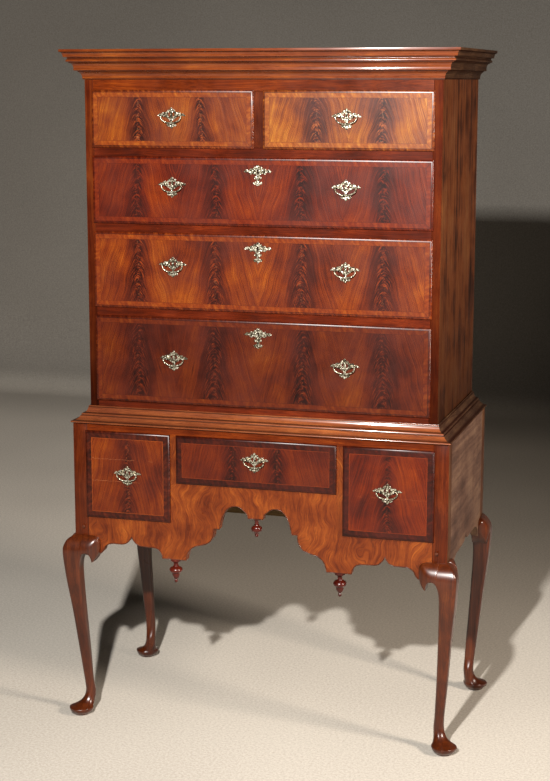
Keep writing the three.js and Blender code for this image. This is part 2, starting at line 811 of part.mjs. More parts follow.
// An open box of boards behind a lipped front, bored for its pulls and its key
function drawerSolid(drawer) {
  const { lip, face, length, pulls, hasLock } = drawer;
  const [left, right, bottom, top] = lip;
  const rings = thumbnailShares.map(([inward, outward]) => rectangle(
    [left + inward * thumbnailWidth, right - inward * thumbnailWidth],
    [bottom + inward * thumbnailWidth, top - inward * thumbnailWidth],
    face - seatGap - outward * lipProud,
  ));
  const inX = [
    left + lipOverlap + drawerSideClearance,
    right - lipOverlap - drawerSideClearance,
  ];
  const floor = bottom + lipOverlap + seatGap;
  const crown = top - lipOverlap - drawerTopClearance;
  const innerFace = face + frontInside;
  const rear = face + length;
  const overlap = frontInside / 2;
  let solid = loft(rings);
  solid = solid.add(board(inX, [face - seatGap - lipProud / 2, innerFace], [floor, crown]));
  for (const side of [
    [inX[0], inX[0] + drawerSideThickness],
    [inX[1] - drawerSideThickness, inX[1]],
  ]) solid = solid.add(board(side, [face + overlap, rear], [floor, crown - drawerSideDrop]));
  const panelFloor = floor + drawerBottomRise;
  solid = solid.add(board(inX, [rear - drawerSideThickness, rear], [panelFloor, crown - drawerSideDrop]));
  const bottomX = [inX[0] + drawerSideThickness / 2, inX[1] - drawerSideThickness / 2];
  const panel = [panelFloor, panelFloor + drawerBottomThickness];
  solid = solid.add(board(bottomX, [face + overlap, rear], panel));
  const through = [face - lipProud - overrun, innerFace + overrun];
  for (const pull of pulls) {
    for (const side of [-1, 1]) {
      const bore = polygonRod(6, shankRadius + boreClearance, pull.x + (side * postSpacing) / 2, pull.z);
      solid = solid.subtract(prism(bore, 'y', through[0], through[1]));
    }
  }
  if (hasLock) {
    const middle = (left + right) / 2;
    const lockCase = board(
      [middle - lockCaseWidth / 2, middle + lockCaseWidth / 2],
      [innerFace - overlap, innerFace + lockCaseDepth],
      [crown - lockCaseHeight, crown],
    );
    const slotHalf = lockBoltWidth / 2 + boreClearance;
    const slotFront = face + lockBoltSetback;
    const slot = board(
      [middle - slotHalf, middle + slotHalf],
      [slotFront - boreClearance, slotFront + lockBoltThickness + boreClearance],
      [crown - lockBoltHeight - seatGap, crown + overrun],
    );
    const keyhole = new THREE.Shape(keyholePath(middle, top - keyholeDrop).getPoints(curveSteps));
    const deep = innerFace + lockCaseDepth + overrun;
    solid = solid.add(lockCase).subtract(slot);
    solid = solid.subtract(prism(keyhole, 'y', through[0], deep));
  }
  return solid;
}

// Right half of the pull plate's outline, from its top point round to its foot
const pullPlateShares = [
  [0, 1], [0.07, 0.9], [0.12, 0.68], [0.22, 0.72], [0.28, 0.5], [0.38, 0.33], [0.5, 0.42],
  [0.62, 0.33], [0.68, 0.16], [0.82, 0.22], [0.9, 0.06], [1, -0.06], [0.92, -0.16],
  [0.76, -0.1], [0.66, -0.24], [0.54, -0.14], [0.4, -0.26], [0.3, -0.42], [0.15, -0.6],
  [0.06, -0.82], [0.06, -1.12], [0.17, -1.2], [0.32, -1.16], [0.36, -1.36], [0.24, -1.5],
  [0.12, -1.52], [0.07, -1.68], [0, -1.79],
];
const pullPiercingShares = [[0.1, 0.42], [0.24, 0.2], [0.2, -0.12], [0.1, -0.3], [0.08, 0.1]];

// Right half of the escutcheon's outline in the same way; its shares of rise reach below zero
const escutcheonShares = [
  [0, 1], [0.09, 0.82], [0.12, 0.55], [0.26, 0.62], [0.34, 0.2], [0.5, 0.32], [0.62, 0.02],
  [0.8, 0.12], [1, -0.28], [0.86, -0.46], [0.66, -0.36], [0.52, -0.82], [0.34, -0.6],
  [0.16, -0.9], [0.1, -1.05], [0.26, -1.2], [0.24, -1.55], [0.1, -1.66], [0.06, -1.95],
  [0.2, -2.1], [0.34, -2.24], [0.26, -2.62], [0.12, -2.6], [0, -2.92],
];

function mirroredOutline(shares, halfWidth, rise) {
  const right = fromShares(shares, halfWidth, rise);
  return new THREE.Shape([...right, ...mirrorPoints(right.slice(1, -1))]);
}

// Pierced plate with two bored posts; behind each post a shank passes the front and takes a nut
function pullPlate() {
  let plate = prism(mirroredOutline(pullPlateShares, pullHalfWidth, pullRise), 'y', -plateThickness, 0);
  for (const side of [-1, 1]) {
    const piercing = new THREE.Shape(fromShares(pullPiercingShares, side * pullHalfWidth, pullRise));
    plate = plate.subtract(prism(piercing, 'y', -overrun, overrun));
  }
  const nutSeat = seatGap + lipProud + seatGap + frontInside;
  for (const side of [-1, 1]) {
    const x = (side * postSpacing) / 2;
    const post = prism(polygonRod(6, postRadius, x, 0), 'y', -postLength, -plateThickness / 2);
    const shank = prism(polygonRod(6, shankRadius, x, 0), 'y', -plateThickness / 2, nutSeat + seatGap);
    const nut = prism(polygonRod(4, nutRadius, x, 0), 'y', nutSeat + seatGap, nutSeat + nutThickness);
    plate = plate.add(post).add(shank).add(nut);
  }
  const boreEnd = postSpacing / 2 + postRadius + overrun;
  const bore = prism(polygonRod(6, pinBoreRadius, -pivotStandoff, 0), 'x', -boreEnd, boreEnd);
  return plate.subtract(bore);
}

// Bail: half of its centre line and thickness, from the middle to the pin in the post
const bailShares = [
  [0, -1, 1], [0.34, -0.96, 0.98], [0.68, -0.8, 0.92], [0.93, -0.52, 0.84], [1, -0.24, 0.78],
  [0.92, -0.06, 0.74], [0.8, 0, 0.7], [0.75, 0, 0.56], [0.54, 0, 0.56],
];

function bail() {
  const half = bailShares.map(([x, z, size]) => ({
    x: x * bailHalfWidth,
    z: z * bailDrop,
    radius: size * bailRadius,
  }));
  const mirroredHalf = half.slice(1).map((p) => ({ ...p, x: -p.x })).reverse();
  const line = [...mirroredHalf, ...half];
  const rings = line.map((point, i) => {
    const before = line[Math.max(0, i - 1)];
    const after = line[Math.min(line.length - 1, i + 1)];
    const along = new THREE.Vector2(after.x - before.x, after.z - before.z).normalize();
    const ring = [];
    for (let side = 0; side < 6; side += 1) {
      const angle = (side / 6) * Math.PI * 2;
      const across = point.radius * Math.cos(angle);
      ring.push(new THREE.Vector3(
        point.x - along.y * across,
        point.radius * Math.sin(angle),
        point.z + along.x * across,
      ));
    }
    return ring;
  });
  return loft(rings);
}

// Face plate of the lock, pierced by the keyhole
function escutcheon() {
  const outline = mirroredOutline(escutcheonShares, escutcheonHalfWidth, escutcheonRise);
  const keyhole = new THREE.Shape(keyholePath(0, 0).getPoints(curveSteps));
  return prism(outline, 'y', -plateThickness, 0).subtract(prism(keyhole, 'y', -overrun, overrun));
}

function lockBolt() {
  const half = lockBoltWidth / 2;
  return board([-half, half], [0, lockBoltThickness], [0, lockBoltHeight - seatGap]);
}

// Every drawer by its lip: left, right, bottom, top
const upperLipHalf = upperInner + lipOverlap;
const pullHeightShares = [0.573, 0.6, 0.597, 0.541];
const sidePullHeightShare = 0.539;
const centrePullHeightShare = 0.604;
const drawers = [];
const topRow = upperRows[0];
for (const side of [-1, 1]) {
  const edges = [(side * topDividerShow) / 2, side * upperLipHalf].sort((a, b) => a - b);
  const z = THREE.MathUtils.lerp(topRow.lipBottom, topRow.lipTop, pullHeightShares[0]);
  drawers.push({
    name: side < 0 ? 'top_left' : 'top_right',
    parent: upperCase,
    lip: [edges[0], edges[1], topRow.lipBottom, topRow.lipTop],
    face: upperFront,
    length: upperDrawerLength,
    pulls: [{ x: (side * pullSpacing) / 2, z }],
    hasLock: false,
  });
}
for (let row = 1; row < upperRows.length; row += 1) {
  const { lipBottom, lipTop } = upperRows[row];
  const z = THREE.MathUtils.lerp(lipBottom, lipTop, pullHeightShares[row]);
  drawers.push({
    name: `long_${row}`,
    parent: upperCase,
    lip: [-upperLipHalf, upperLipHalf, lipBottom, lipTop],
    face: upperFront,
    length: upperDrawerLength,
    pulls: [-1, 1].map((side) => ({ x: (side * pullSpacing) / 2, z })),
    hasLock: true,
  });
}
for (const side of [-1, 1]) {
  const inner = centreDrawerWidth / 2 + stileShow;
  const edges = [side * inner, side * (postInner + lipOverlap)].sort((a, b) => a - b);
  const bottom = lowerLipTop - sideDrawerHeight;
  drawers.push({
    name: side < 0 ? 'low_left' : 'low_right',
    parent: lowerCase,
    lip: [edges[0], edges[1], bottom, lowerLipTop],
    face: lowerFront,
    length: lowerDrawerLength,
    pulls: [{ x: side * (inner + sidePullInset), z: bottom + sidePullHeightShare * sideDrawerHeight }],
    hasLock: false,
  });
}
const centreBottom = lowerLipTop - centreDrawerHeight;
drawers.push({
  name: 'low_centre',
  parent: lowerCase,
  lip: [-centreDrawerWidth / 2, centreDrawerWidth / 2, centreBottom, lowerLipTop],
  face: lowerFront,
  length: lowerDrawerLength,
  pulls: [{ x: 0, z: centreBottom + centrePullHeightShare * centreDrawerHeight }],
  hasLock: false,
});

for (const drawer of drawers) {
  const group = new THREE.Group();
  drawer.parent.add(group);
  addPiece(group, `drawer_${drawer.name}`, drawerSolid(drawer), figuredWalnut);
  const field = drawer.face - seatGap - lipProud - seatGap;
  drawer.pulls.forEach((pull, i) => {
    const tail = drawer.pulls.length > 1 ? ['_left', '_right'][i] : '';
    const plate = addPiece(group, `pull_plate_${drawer.name}${tail}`, pullPlate(), brass);
    plate.position.set(pull.x, field, pull.z);
    const handle = addPiece(group, `bail_${drawer.name}${tail}`, bail(), brass);
    handle.position.set(pull.x, field - pivotStandoff, pull.z);
  });
  if (drawer.hasLock) {
    const [left, right, , top] = drawer.lip;
    const middle = (left + right) / 2;
    const crown = top - lipOverlap - drawerTopClearance;
    const cover = addPiece(group, `escutcheon_${drawer.name}`, escutcheon(), brass);
    cover.position.set(middle, field, top - keyholeDrop);
    const bolt = addPiece(group, `lock_bolt_${drawer.name}`, lockBolt(), iron);
    bolt.position.set(middle, drawer.face + lockBoltSetback, crown - lockBoltHeight);
  }
}

// The knees reach less far behind the case than in front of it: centre the whole over its feet
const extent = new THREE.Box3().setFromObject(highboy);
highboy.position.y = -(extent.min.y + extent.max.y) / 2;

export default highboy;
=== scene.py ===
import json
import math
import bpy
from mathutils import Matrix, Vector

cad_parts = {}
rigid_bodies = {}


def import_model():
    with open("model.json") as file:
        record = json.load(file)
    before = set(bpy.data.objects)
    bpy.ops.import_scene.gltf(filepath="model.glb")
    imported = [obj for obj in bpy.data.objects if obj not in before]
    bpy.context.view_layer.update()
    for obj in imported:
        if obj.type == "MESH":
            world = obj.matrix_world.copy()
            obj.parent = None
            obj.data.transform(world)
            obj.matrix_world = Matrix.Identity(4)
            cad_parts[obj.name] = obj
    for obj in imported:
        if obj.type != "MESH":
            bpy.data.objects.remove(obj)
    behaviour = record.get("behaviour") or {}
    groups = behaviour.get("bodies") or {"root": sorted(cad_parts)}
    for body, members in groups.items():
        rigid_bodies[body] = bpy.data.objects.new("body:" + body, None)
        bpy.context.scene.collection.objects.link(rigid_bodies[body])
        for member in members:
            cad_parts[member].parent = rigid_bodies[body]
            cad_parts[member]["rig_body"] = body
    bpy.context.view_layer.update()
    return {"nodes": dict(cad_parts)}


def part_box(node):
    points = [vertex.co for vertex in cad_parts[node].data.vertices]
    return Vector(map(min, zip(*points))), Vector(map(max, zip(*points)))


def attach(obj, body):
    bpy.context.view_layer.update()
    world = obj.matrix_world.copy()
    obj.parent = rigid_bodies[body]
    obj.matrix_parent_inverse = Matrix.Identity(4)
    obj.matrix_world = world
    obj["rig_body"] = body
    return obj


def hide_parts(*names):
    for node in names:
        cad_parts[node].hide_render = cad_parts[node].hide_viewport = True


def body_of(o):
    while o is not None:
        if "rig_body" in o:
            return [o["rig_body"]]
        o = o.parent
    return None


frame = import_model()
nodes = frame["nodes"]
mm = 0.001


# Colours and nodes

def paint(hexColour):  # an sRGB hex value as linear colour
    parts = [int(hexColour[i:i + 2], 16) / 255 for i in (1, 3, 5)]
    return [c / 12.92 if c <= 0.04045 else ((c + 0.055) / 1.055) ** 2.4 for c in parts] + [1]


spread = {  # places of four colours on a ramp
    "rail": (0.34, 0.45, 0.56, 0.68), "moulding": (0.34, 0.46, 0.57, 0.68), "board": (0.34, 0.47, 0.57, 0.68)}


def ramp(places, colours):
    return list(zip(places, colours.split()))


def put(tree, kind, inputs=(), out=0, stops=None, **settings):  # adds a node, returns one output
    node = tree.nodes.new("ShaderNode" + kind)
    for name, value in settings.items():
        setattr(node, name, value)
    if stops:
        steps = node.color_ramp.elements
        while len(steps) < len(stops):
            steps.new(1)
        for step, (place, colour) in zip(steps, stops):
            step.position = place
            step.color = paint(colour)
    pairs = inputs.items() if isinstance(inputs, dict) else enumerate(inputs)
    for name, value in pairs:
        if isinstance(value, bpy.types.NodeSocket):
            tree.links.new(value, node.inputs[name])
        elif isinstance(value, str):
            node.inputs[name].default_value = paint(value)
        else:
            node.inputs[name].default_value = value
    return node.outputs[out]


def calc(tree, operation, *values):
    return put(tree, "Math", values, operation=operation)


def weigh(tree, *pairs):  # the sum of values, each times its weight
    scaled = [calc(tree, "MULTIPLY", value, weight) for value, weight in pairs]
    total = scaled[0]
    for each in scaled[1:]:
        total = calc(tree, "ADD", total, each)
    return total


def noise(tree, vector, size, detail=2.0, roughness=0.6, distortion=0.0):  # size of its patches in mm
    return put(tree, "TexNoise", {"Vector": vector, "Scale": 1 / size, "Detail": detail,
                                  "Roughness": roughness, "Distortion": distortion})


def blend(tree, share, first, second, way="MIX"):
    return put(tree, "Mix", {0: share, 6: first, 7: second}, out=2, data_type="RGBA", blend_type=way)


def ranged(tree, value, low, high, start, end, shape="LINEAR"):
    return put(tree, "MapRange", {0: value, 1: low, 2: high, 3: start, 4: end}, interpolation_type=shape)


def startMaterial(name, **surface):  # a Principled surface and its place in mm
    material = bpy.data.materials.new(name)
    material.use_nodes = True
    tree = material.node_tree
    shader = tree.nodes["Principled BSDF"]
    for socket, value in surface.items():
        shader.inputs[socket.replace("_", " ")].default_value = value
    place = put(tree, "Mapping", {"Vector": put(tree, "TexCoord", out="Object"), "Scale": (1000,) * 3})
    return material, tree, shader, place


def connect(tree, shader, colour, roughness, height, depth):  # depth of the relief in mm
    tree.links.new(colour, shader.inputs["Base Color"])
    if roughness is not None:
        tree.links.new(roughness, shader.inputs["Roughness"])
    bump = put(tree, "Bump", {"Height": height, "Distance": depth * mm, "Strength": 1.0})
    tree.links.new(bump, shader.inputs["Normal"])


# Crotch walnut veneer under old shellac: book-matched leaves with a dark feather down each, a
# border laid across the edges, and a thumbnail lip; deep colour under a thin worn gloss
fronts = {
    "drawer_top_left": {"feathers": (150, 318), "width": (9, 16), "seed": 1.3, "tint": (0.82, 0.72, 0.48)},
    # the top right front's paler, greyer tint is partly a painted sheen for the glare on it
    "drawer_top_right": {"feathers": (150, 318), "width": (9, 15), "seed": 4.1, "tint": (1.05, 1.25, 1.2)},
    "drawer_long_1": {"feathers": (113, 325), "width": (11, 18), "seed": 7.7, "tint": (0.53, 0.25, 0.14)},
    "drawer_long_2": {"feathers": (113, 325), "width": (11, 26), "seed": 11.2, "tint": (0.72, 0.52, 0.36)},
    "drawer_long_3": {"feathers": (118, 325), "width": (16, 30), "seed": 15.9, "tint": (0.37, 0.23, 0.16)},
    "drawer_low_left": {"feathers": (349, 349), "width": (5, 12), "seed": 19.4, "tint": (0.62, 0.41, 0.26),
                        "darkEdge": 1, "cracks": (722, 663)},
    "drawer_low_right": {"feathers": (349, 349), "width": (5, 12), "seed": 23.8, "tint": (0.49, 0.22, 0.1),
                         "darkEdge": 1, "cracks": (668,)},
    "drawer_low_centre": {"feathers": (60, 60), "width": (8, 14), "seed": 27.5, "tint": (0.41, 0.2, 0.12),
                          "darkEdge": 1},
}
border = {"lip": 6.4, "band": 12.0, "line": 1.1}
figure = {
    "near": 1.5, "far": 3.6, "reach": 55, "crown": 10.0,  # slopes of the grain, and the round of its top
    "coarse": 34.0, "fine": 8.0, "fibre": 2.6, "bars": 5.2, "patch": 95, "worn": 120,  # sizes in mm
    "stretch": 0.16, "barStretch": 0.5, "wander": 18.0, "fray": 30.0, "edge": (-4.0, 5.0),
    "halo": 30, "haloDepth": 0.11, "dim": 0.09, "hair": 0.6, "hairSway": 26.0,
    "crack": 0.35, "crackSway": 9.0, "mitre": 0.7,
}


def makeVeneer(name, look, low, high):
    material, tree, shader, place = startMaterial(
        "crotchVeneer_" + name, Coat_Weight=0.3, Coat_Roughness=0.3, Specular_IOR_Level=0.12)
    x, y, z = [put(tree, "SeparateXYZ", [place], out=i) for i in range(3)]

    def do(operation, *values):
        return calc(tree, operation, *values)

    def drawn(a, b, c):
        return put(tree, "CombineXYZ", [a, b, c])

    # sideways run from the nearest feather, mirrored at the joints of the leaves
    near, far = look["feathers"]
    joint = (near + far) / 2 if near != far else 9999
    shift = (look["seed"] * 90, 0, look["seed"] * 40)
    offset = put(tree, "VectorMath", {0: place, 1: shift}, operation="ADD")
    wander = do("SUBTRACT", noise(tree, offset, 80, 1.0), 0.5)
    across = do("ABSOLUTE", x)
    beyond = do("GREATER_THAN", across, joint)
    inner = do("SUBTRACT", across, near)
    outer = do("SUBTRACT", far, across)
    side = do("ADD", do("MULTIPLY", inner, do("SUBTRACT", 1.0, beyond)), do("MULTIPLY", outer, beyond))
    side = do("ADD", side, do("MULTIPLY", wander, figure["wander"]))
    away = do("ABSOLUTE", side)
    # grain falls away from the feather on both sides, steeper further out
    crown = figure["crown"]
    curve = do("SUBTRACT", do("SQRT", do("ADD", do("MULTIPLY", away, away), crown ** 2)), crown)
    slope = ranged(tree, away, 0, figure["reach"], figure["near"], figure["far"], "SMOOTHSTEP")
    grain = do("ADD", z, do("MULTIPLY", curve, slope))
    flow = drawn(do("MULTIPLY", side, figure["stretch"]), look["seed"] * 70, grain)
    coarse = noise(tree, flow, figure["coarse"], 2.0, 0.6, 0.3)
    fine = noise(tree, flow, figure["fine"], 3.0, 0.65)
    pores = noise(tree, flow, figure["fibre"], 2.0, 0.7)
    patch = noise(tree, offset, figure["patch"], 3.0, 0.55)
    tone = weigh(tree, (coarse, 0.2), (fine, 0.3), (patch, 0.46), (pores, 0.26))
    # wood darkens toward the feather, whose width grows downward
    foot, head = low.z / mm, high.z / mm
    fall = ranged(tree, z, head, foot, *look["width"])
    halo = ranged(tree, do("SUBTRACT", away, fall), 0, figure["halo"], figure["haloDepth"], 0.0, "SMOOTHSTEP")
    tone = do("SUBTRACT", do("SUBTRACT", tone, halo), figure["dim"])
    field = put(tree, "ValToRGB", [tone], stops=[
        (0.32, "#2c0e06"), (0.42, "#471a09"), (0.50, "#622a0d"), (0.59, "#783d10"), (0.70, "#92581c")])
    fray = do("MULTIPLY", do("SUBTRACT", fine, 0.5), figure["fray"])
    depth = do("SUBTRACT", do("ADD", fall, fray), away)
    feather = ranged(tree, depth, *figure["edge"], 0.0, 0.95, "SMOOTHSTEP")
    barFlow = drawn(do("MULTIPLY", side, figure["barStretch"]), look["seed"] * 30, grain)
    bars = noise(tree, barFlow, figure["bars"], 3.0, 0.7)
    dark = put(tree, "ValToRGB", [bars], stops=[
        (0.38, "#100403"), (0.47, "#240a06"), (0.55, "#4c1c0c"), (0.64, "#7c3b18")])
    colour = blend(tree, feather, field, dark)
    colour = blend(tree, ranged(tree, pores, 0.38, 0.46, 0.45, 0.0), colour, "#260b05")
    # hairline checks down the feather, filled with pale polish
    shake = noise(tree, offset, 11, 4.0)
    wiggle = do("ABSOLUTE", do("ADD", side, do("MULTIPLY", do("SUBTRACT", shake, 0.5), figure["hairSway"])))
    hair = do("MULTIPLY", do("LESS_THAN", wiggle, figure["hair"]), do("GREATER_THAN", fine, 0.5))
    colour = blend(tree, do("MULTIPLY", hair, 0.34), colour, "#9a6a50")
    for level in look.get("cracks", ()):  # a thin crack across the leaf
        sway = do("MULTIPLY", shake, figure["crackSway"])
        off = do("ABSOLUTE", do("SUBTRACT", do("ADD", z, sway), level + figure["crackSway"] / 2))
        line = do("MULTIPLY", do("LESS_THAN", off, figure["crack"]), do("GREATER_THAN", patch, 0.46))
        colour = blend(tree, do("MULTIPLY", line, 0.5), colour, "#b58a70")

    # how far in from the nearest edge, for the border
    left, right = low.x / mm, high.x / mm
    inX = do("MINIMUM", do("SUBTRACT", x, left), do("SUBTRACT", right, x))
    inZ = do("MINIMUM", do("SUBTRACT", z, foot), do("SUBTRACT", head, z))
    inside = do("MINIMUM", inX, inZ)
    upright = do("LESS_THAN", inX, inZ)
    lean = do("ADD", x, do("MULTIPLY", z, 0.35))
    flat = do("SUBTRACT", z, do("MULTIPLY", x, 0.25))
    run = put(tree, "Mix", {0: upright, 2: lean, 3: flat}, data_type="FLOAT")
    bandNoise = noise(tree, drawn(run, look["seed"] * 50, do("MULTIPLY", inside, 0.5)), 9.0, 3.0, 0.62)
    if look.get("darkEdge"):
        bandStops = [(0.32, "#220d07"), (0.50, "#38150b"), (0.66, "#502413")]
        lipStops = [(0.35, "#220c07"), (0.55, "#3a160c"), (0.70, "#5a2a1a")]
    else:
        bandStops = [(0.30, "#5c270a"), (0.45, "#6c310d"), (0.57, "#783c12"), (0.72, "#89501c")]
        lipStops = [(0.35, "#3a1408"), (0.55, "#5e270d"), (0.70, "#804418")]
    reach = border["lip"] + border["band"]
    inBand = do("LESS_THAN", inside, reach)
    colour = blend(tree, inBand, colour, put(tree, "ValToRGB", [bandNoise], stops=bandStops))
    toLine = do("ABSOLUTE", do("SUBTRACT", inside, reach))
    edging = "#a8602a" if look.get("darkEdge") else "#3f1608"
    colour = blend(tree, do("MULTIPLY", do("LESS_THAN", toLine, border["line"] / 2), 0.6), colour, edging)
    onMitre = do("LESS_THAN", do("ABSOLUTE", do("SUBTRACT", inX, inZ)), figure["mitre"])
    mitre = do("MULTIPLY", onMitre, inBand)
    colour = blend(tree, do("MULTIPLY", mitre, 0.6), colour, "#2c0f07")
    onLip = ranged(tree, inside, border["lip"] - 0.5, border["lip"] + 0.5, 1.0, 0.0)
    colour = blend(tree, onLip, colour, put(tree, "ValToRGB", [bandNoise], stops=lipStops))
    # painted shade: a dark line in the step at the foot of the thumbnail lip
    lipStepShade = ranged(tree, do("ABSOLUTE", do("SUBTRACT", inside, border["lip"] - 0.3)), 0.2, 1.1, 0.8, 0.0)
    colour = blend(tree, lipStepShade, colour, "#1a0704")
    colour = blend(tree, 1.0, colour, [*look["tint"], 1], "MULTIPLY")
    # the finish has darkened in clouds, and shines unevenly
    worn = noise(tree, offset, figure["worn"], 4.0)
    colour = blend(tree, ranged(tree, worn, 0.38, 0.68, 0.0, 0.45), colour, "#3c1208")
    roughness = ranged(tree, worn, 0.3, 0.7, 0.27, 0.4)
    connect(tree, shader, colour, roughness, do("ADD", pores, do("MULTIPLY", coarse, 3.0)), 0.1)
    return material


# Solid walnut or pine, sawn with the grain along one axis, then finished: streaks along the board,
# short dark pores, and a worn shellac shine; short of the edge's limit it may be toned otherwise
def makeBoardWood(name, along, stops, width, shine=0.3, coat=0.15, ior=1.4, edge=None, seams=None,
                  hollows=(), polish=0.16, footShade=None, glaze=0.14):
    material, tree, shader, place = startMaterial(name, Coat_Weight=coat, Coat_Roughness=polish, IOR=ior,
                                                  Specular_IOR_Level=glaze)
    scale = [1.0, 1.0, 1.0]
    scale["XYZ".index(along)] = 0.035
    drawn = put(tree, "Mapping", {"Vector": place, "Scale": scale, "Location": (width * 37, 91, 530)})
    bend = put(tree, "TexNoise", {"Vector": place, "Scale": 0.004, "Detail": 1.0}, out="Color")
    push = put(tree, "VectorMath", {0: bend, 1: (24.0,) * 3}, operation="MULTIPLY")
    drawn = put(tree, "VectorMath", [push, drawn], operation="ADD")
    broad = noise(tree, drawn, width, 2.0, 0.6, 0.4)
    fine = noise(tree, drawn, width / 4, 3.0, 0.65)
    pores = noise(tree, drawn, 1.3, 2.0, 0.7)
    patch = noise(tree, place, 130, 3.0)
    streak = weigh(tree, (broad, 0.34), (fine, 0.3), (calc(tree, "SUBTRACT", patch, 0.06), 0.44))
    colour = put(tree, "ValToRGB", [streak], stops=stops)
    if edge:
        spot = put(tree, "SeparateXYZ", [place], out="XYZ".index(edge["axis"]))
        other = put(tree, "ValToRGB", [streak], stops=edge["stops"])
        colour = blend(tree, calc(tree, "LESS_THAN", spot, edge["limit"]), colour, other)
    height = put(tree, "SeparateXYZ", [place], out=2)
    if footShade:  # painted shade: darker toward the foot of the board; low, high and the share of light at each
        footShadeTint = put(tree, "CombineXYZ", [ranged(tree, height, *footShade)] * 3)
        colour = blend(tree, 1.0, colour, footShadeTint, "MULTIPLY")
    for level in hollows:  # painted shade: dark lines in the hollows of a moulding, where shade falls
        off = calc(tree, "ABSOLUTE", calc(tree, "SUBTRACT", height, level))
        colour = blend(tree, ranged(tree, off, 0.5, 2.2, 0.75, 0.0), colour, "#1a0805")
    if seams:  # joints between the boards of a wide panel
        spot = put(tree, "SeparateXYZ", [place], out="XYZ".index(seams["axis"]))
        gap = calc(tree, "PINGPONG", calc(tree, "ADD", spot, seams["start"]), seams["every"] / 2)
        colour = blend(tree, ranged(tree, gap, 0.6, 2.2, 0.85, 0.0), colour, "#1c120a")
    colour = blend(tree, ranged(tree, pores, 0.36, 0.46, 0.45, 0.0), colour, "#1c0a06")
    worn = noise(tree, place, 70, 4.0)
    roughness = ranged(tree, worn, 0.3, 0.7, shine - 0.05, shine + 0.12)
    connect(tree, shader, colour, roughness, pores, 0.06)
    return material


# Figured walnut for the apron: flame grain that leans and curls, broad light and dark clouds
def makeFlame(name, stops):
    material, tree, shader, place = startMaterial(name, Coat_Weight=0.2, Coat_Roughness=0.16,
                                                  Specular_IOR_Level=0.12)
    swirl = put(tree, "TexNoise", {"Vector": place, "Scale": 1 / 120, "Detail": 2.0}, out="Color")
    push = put(tree, "VectorMath", {0: swirl, 1: (150.0, 0, 60.0)}, operation="MULTIPLY")
    bent = put(tree, "VectorMath", [place, push], operation="ADD")
    drawn = put(tree, "Mapping", {"Vector": bent, "Rotation": (0, 0.5, 0), "Scale": (1, 1, 0.08)})
    broad = noise(tree, drawn, 12, 2.0, 0.6, 0.3)
    fine = noise(tree, drawn, 3.5, 3.0, 0.65)
    clouds = noise(tree, place, 85, 3.0)
    colour = put(tree, "ValToRGB", [weigh(tree, (broad, 0.28), (fine, 0.3), (clouds, 0.42))], stops=stops)
    pores = noise(tree, drawn, 1.2, 2.0, 0.7)
    colour = blend(tree, ranged(tree, pores, 0.36, 0.46, 0.4, 0.0), colour, "#240c06")
    roughness = ranged(tree, clouds, 0.3, 0.7, 0.26, 0.38)
    connect(tree, shader, colour, roughness, pores, 0.06)
    return material


# Old cast brass, hand chased and lacquered pale: bright high spots, dark polish left in the hollows
def makeBrass(name):
    material, tree, shader, place = startMaterial(name, Metallic=0.72)
    chased = put(tree, "TexVoronoi", {"Vector": place, "Scale": 1 / 3.6, "Randomness": 0.9},
                 feature="SMOOTH_F1")
    tarnish = noise(tree, place, 5, 4.0)
    colour = put(tree, "ValToRGB", [weigh(tree, (chased, 0.6), (tarnish, 0.5))],
                 stops=ramp((0.34, 0.44, 0.54, 0.68), "#dcd8c8 #9c9682 #5c5543 #1e1a13"))
    roughness = ranged(tree, tarnish, 0.3, 0.7, 0.2, 0.4)
    connect(tree, shader, colour, roughness, calc(tree, "MULTIPLY", chased, -1.0), 0.9)
    return material


# Forged iron, oiled: near black with brown rust bloom
def makeIron(name):
    material, tree, shader, place = startMaterial(name, Metallic=1.0)
    bloom = noise(tree, place, 3, 5.0)
    colour = put(tree, "ValToRGB", [bloom], stops=[(0.35, "#3b3733"), (0.55, "#524b44"), (0.7, "#6b4a34")])
    connect(tree, shader, colour, ranged(tree, bloom, 0.3, 0.7, 0.4, 0.65), bloom, 0.1)
    return material


# The woods; the numbers in mm are the width of the streaks and the levels of seams and of the painted shade
# in hollows
redStops = ramp(spread["rail"], "#240904 #370f04 #481606 #5d220b")
caseWood = makeBoardWood("shellackedWalnutRail", "X", redStops, width=9, shine=0.3, coat=0.2, ior=1.3)
stileWood = makeBoardWood("shellackedWalnutStile", "Z",
    ramp(spread["rail"], "#230803 #340f04 #441806 #57230b"), width=7, shine=0.3, coat=0.2, ior=1.3)
# painted reflection: a greyer copy of the stile wood for the posts' side faces, for the pale sheen they catch
# at a grazing angle
stileSideSheenWood = makeBoardWood("walnutStileSidePaintedSheen", "Z",
    ramp(spread["rail"], "#26150d #392116 #482d1c #563b27"), width=9, shine=0.4, coat=0.0, ior=1.2)
friezeWood = makeBoardWood("shellackedWalnutFrieze", "X",
    ramp(spread["moulding"], "#2e0c02 #451603 #582106 #70320a"), width=8, shine=0.3, coat=0.1, ior=1.3)
# levels in mm of the painted shade lines in the hollows of the cornice and the waist moulding
paintedHollowShadeLevels = (1706, 1725, 1747.5, 1757, 1772.5, 819.8, 832, 838, 852.6)
corniceWood = makeBoardWood("shellackedWalnutMoulding", "X",
    ramp(spread["moulding"], "#471b0a #55230b #632d0f #783d13"), width=6, shine=0.26, coat=0.8, ior=1.45,
    # below the limit the waist moulding takes lighter, greyer stops: a painted sheen for the glare on its
    # ledges
    hollows=paintedHollowShadeLevels, edge={"axis": "Z", "limit": 900, "stops":
                                ramp(spread["moulding"], "#512618 #5e2f19 #6c391d #804824")})
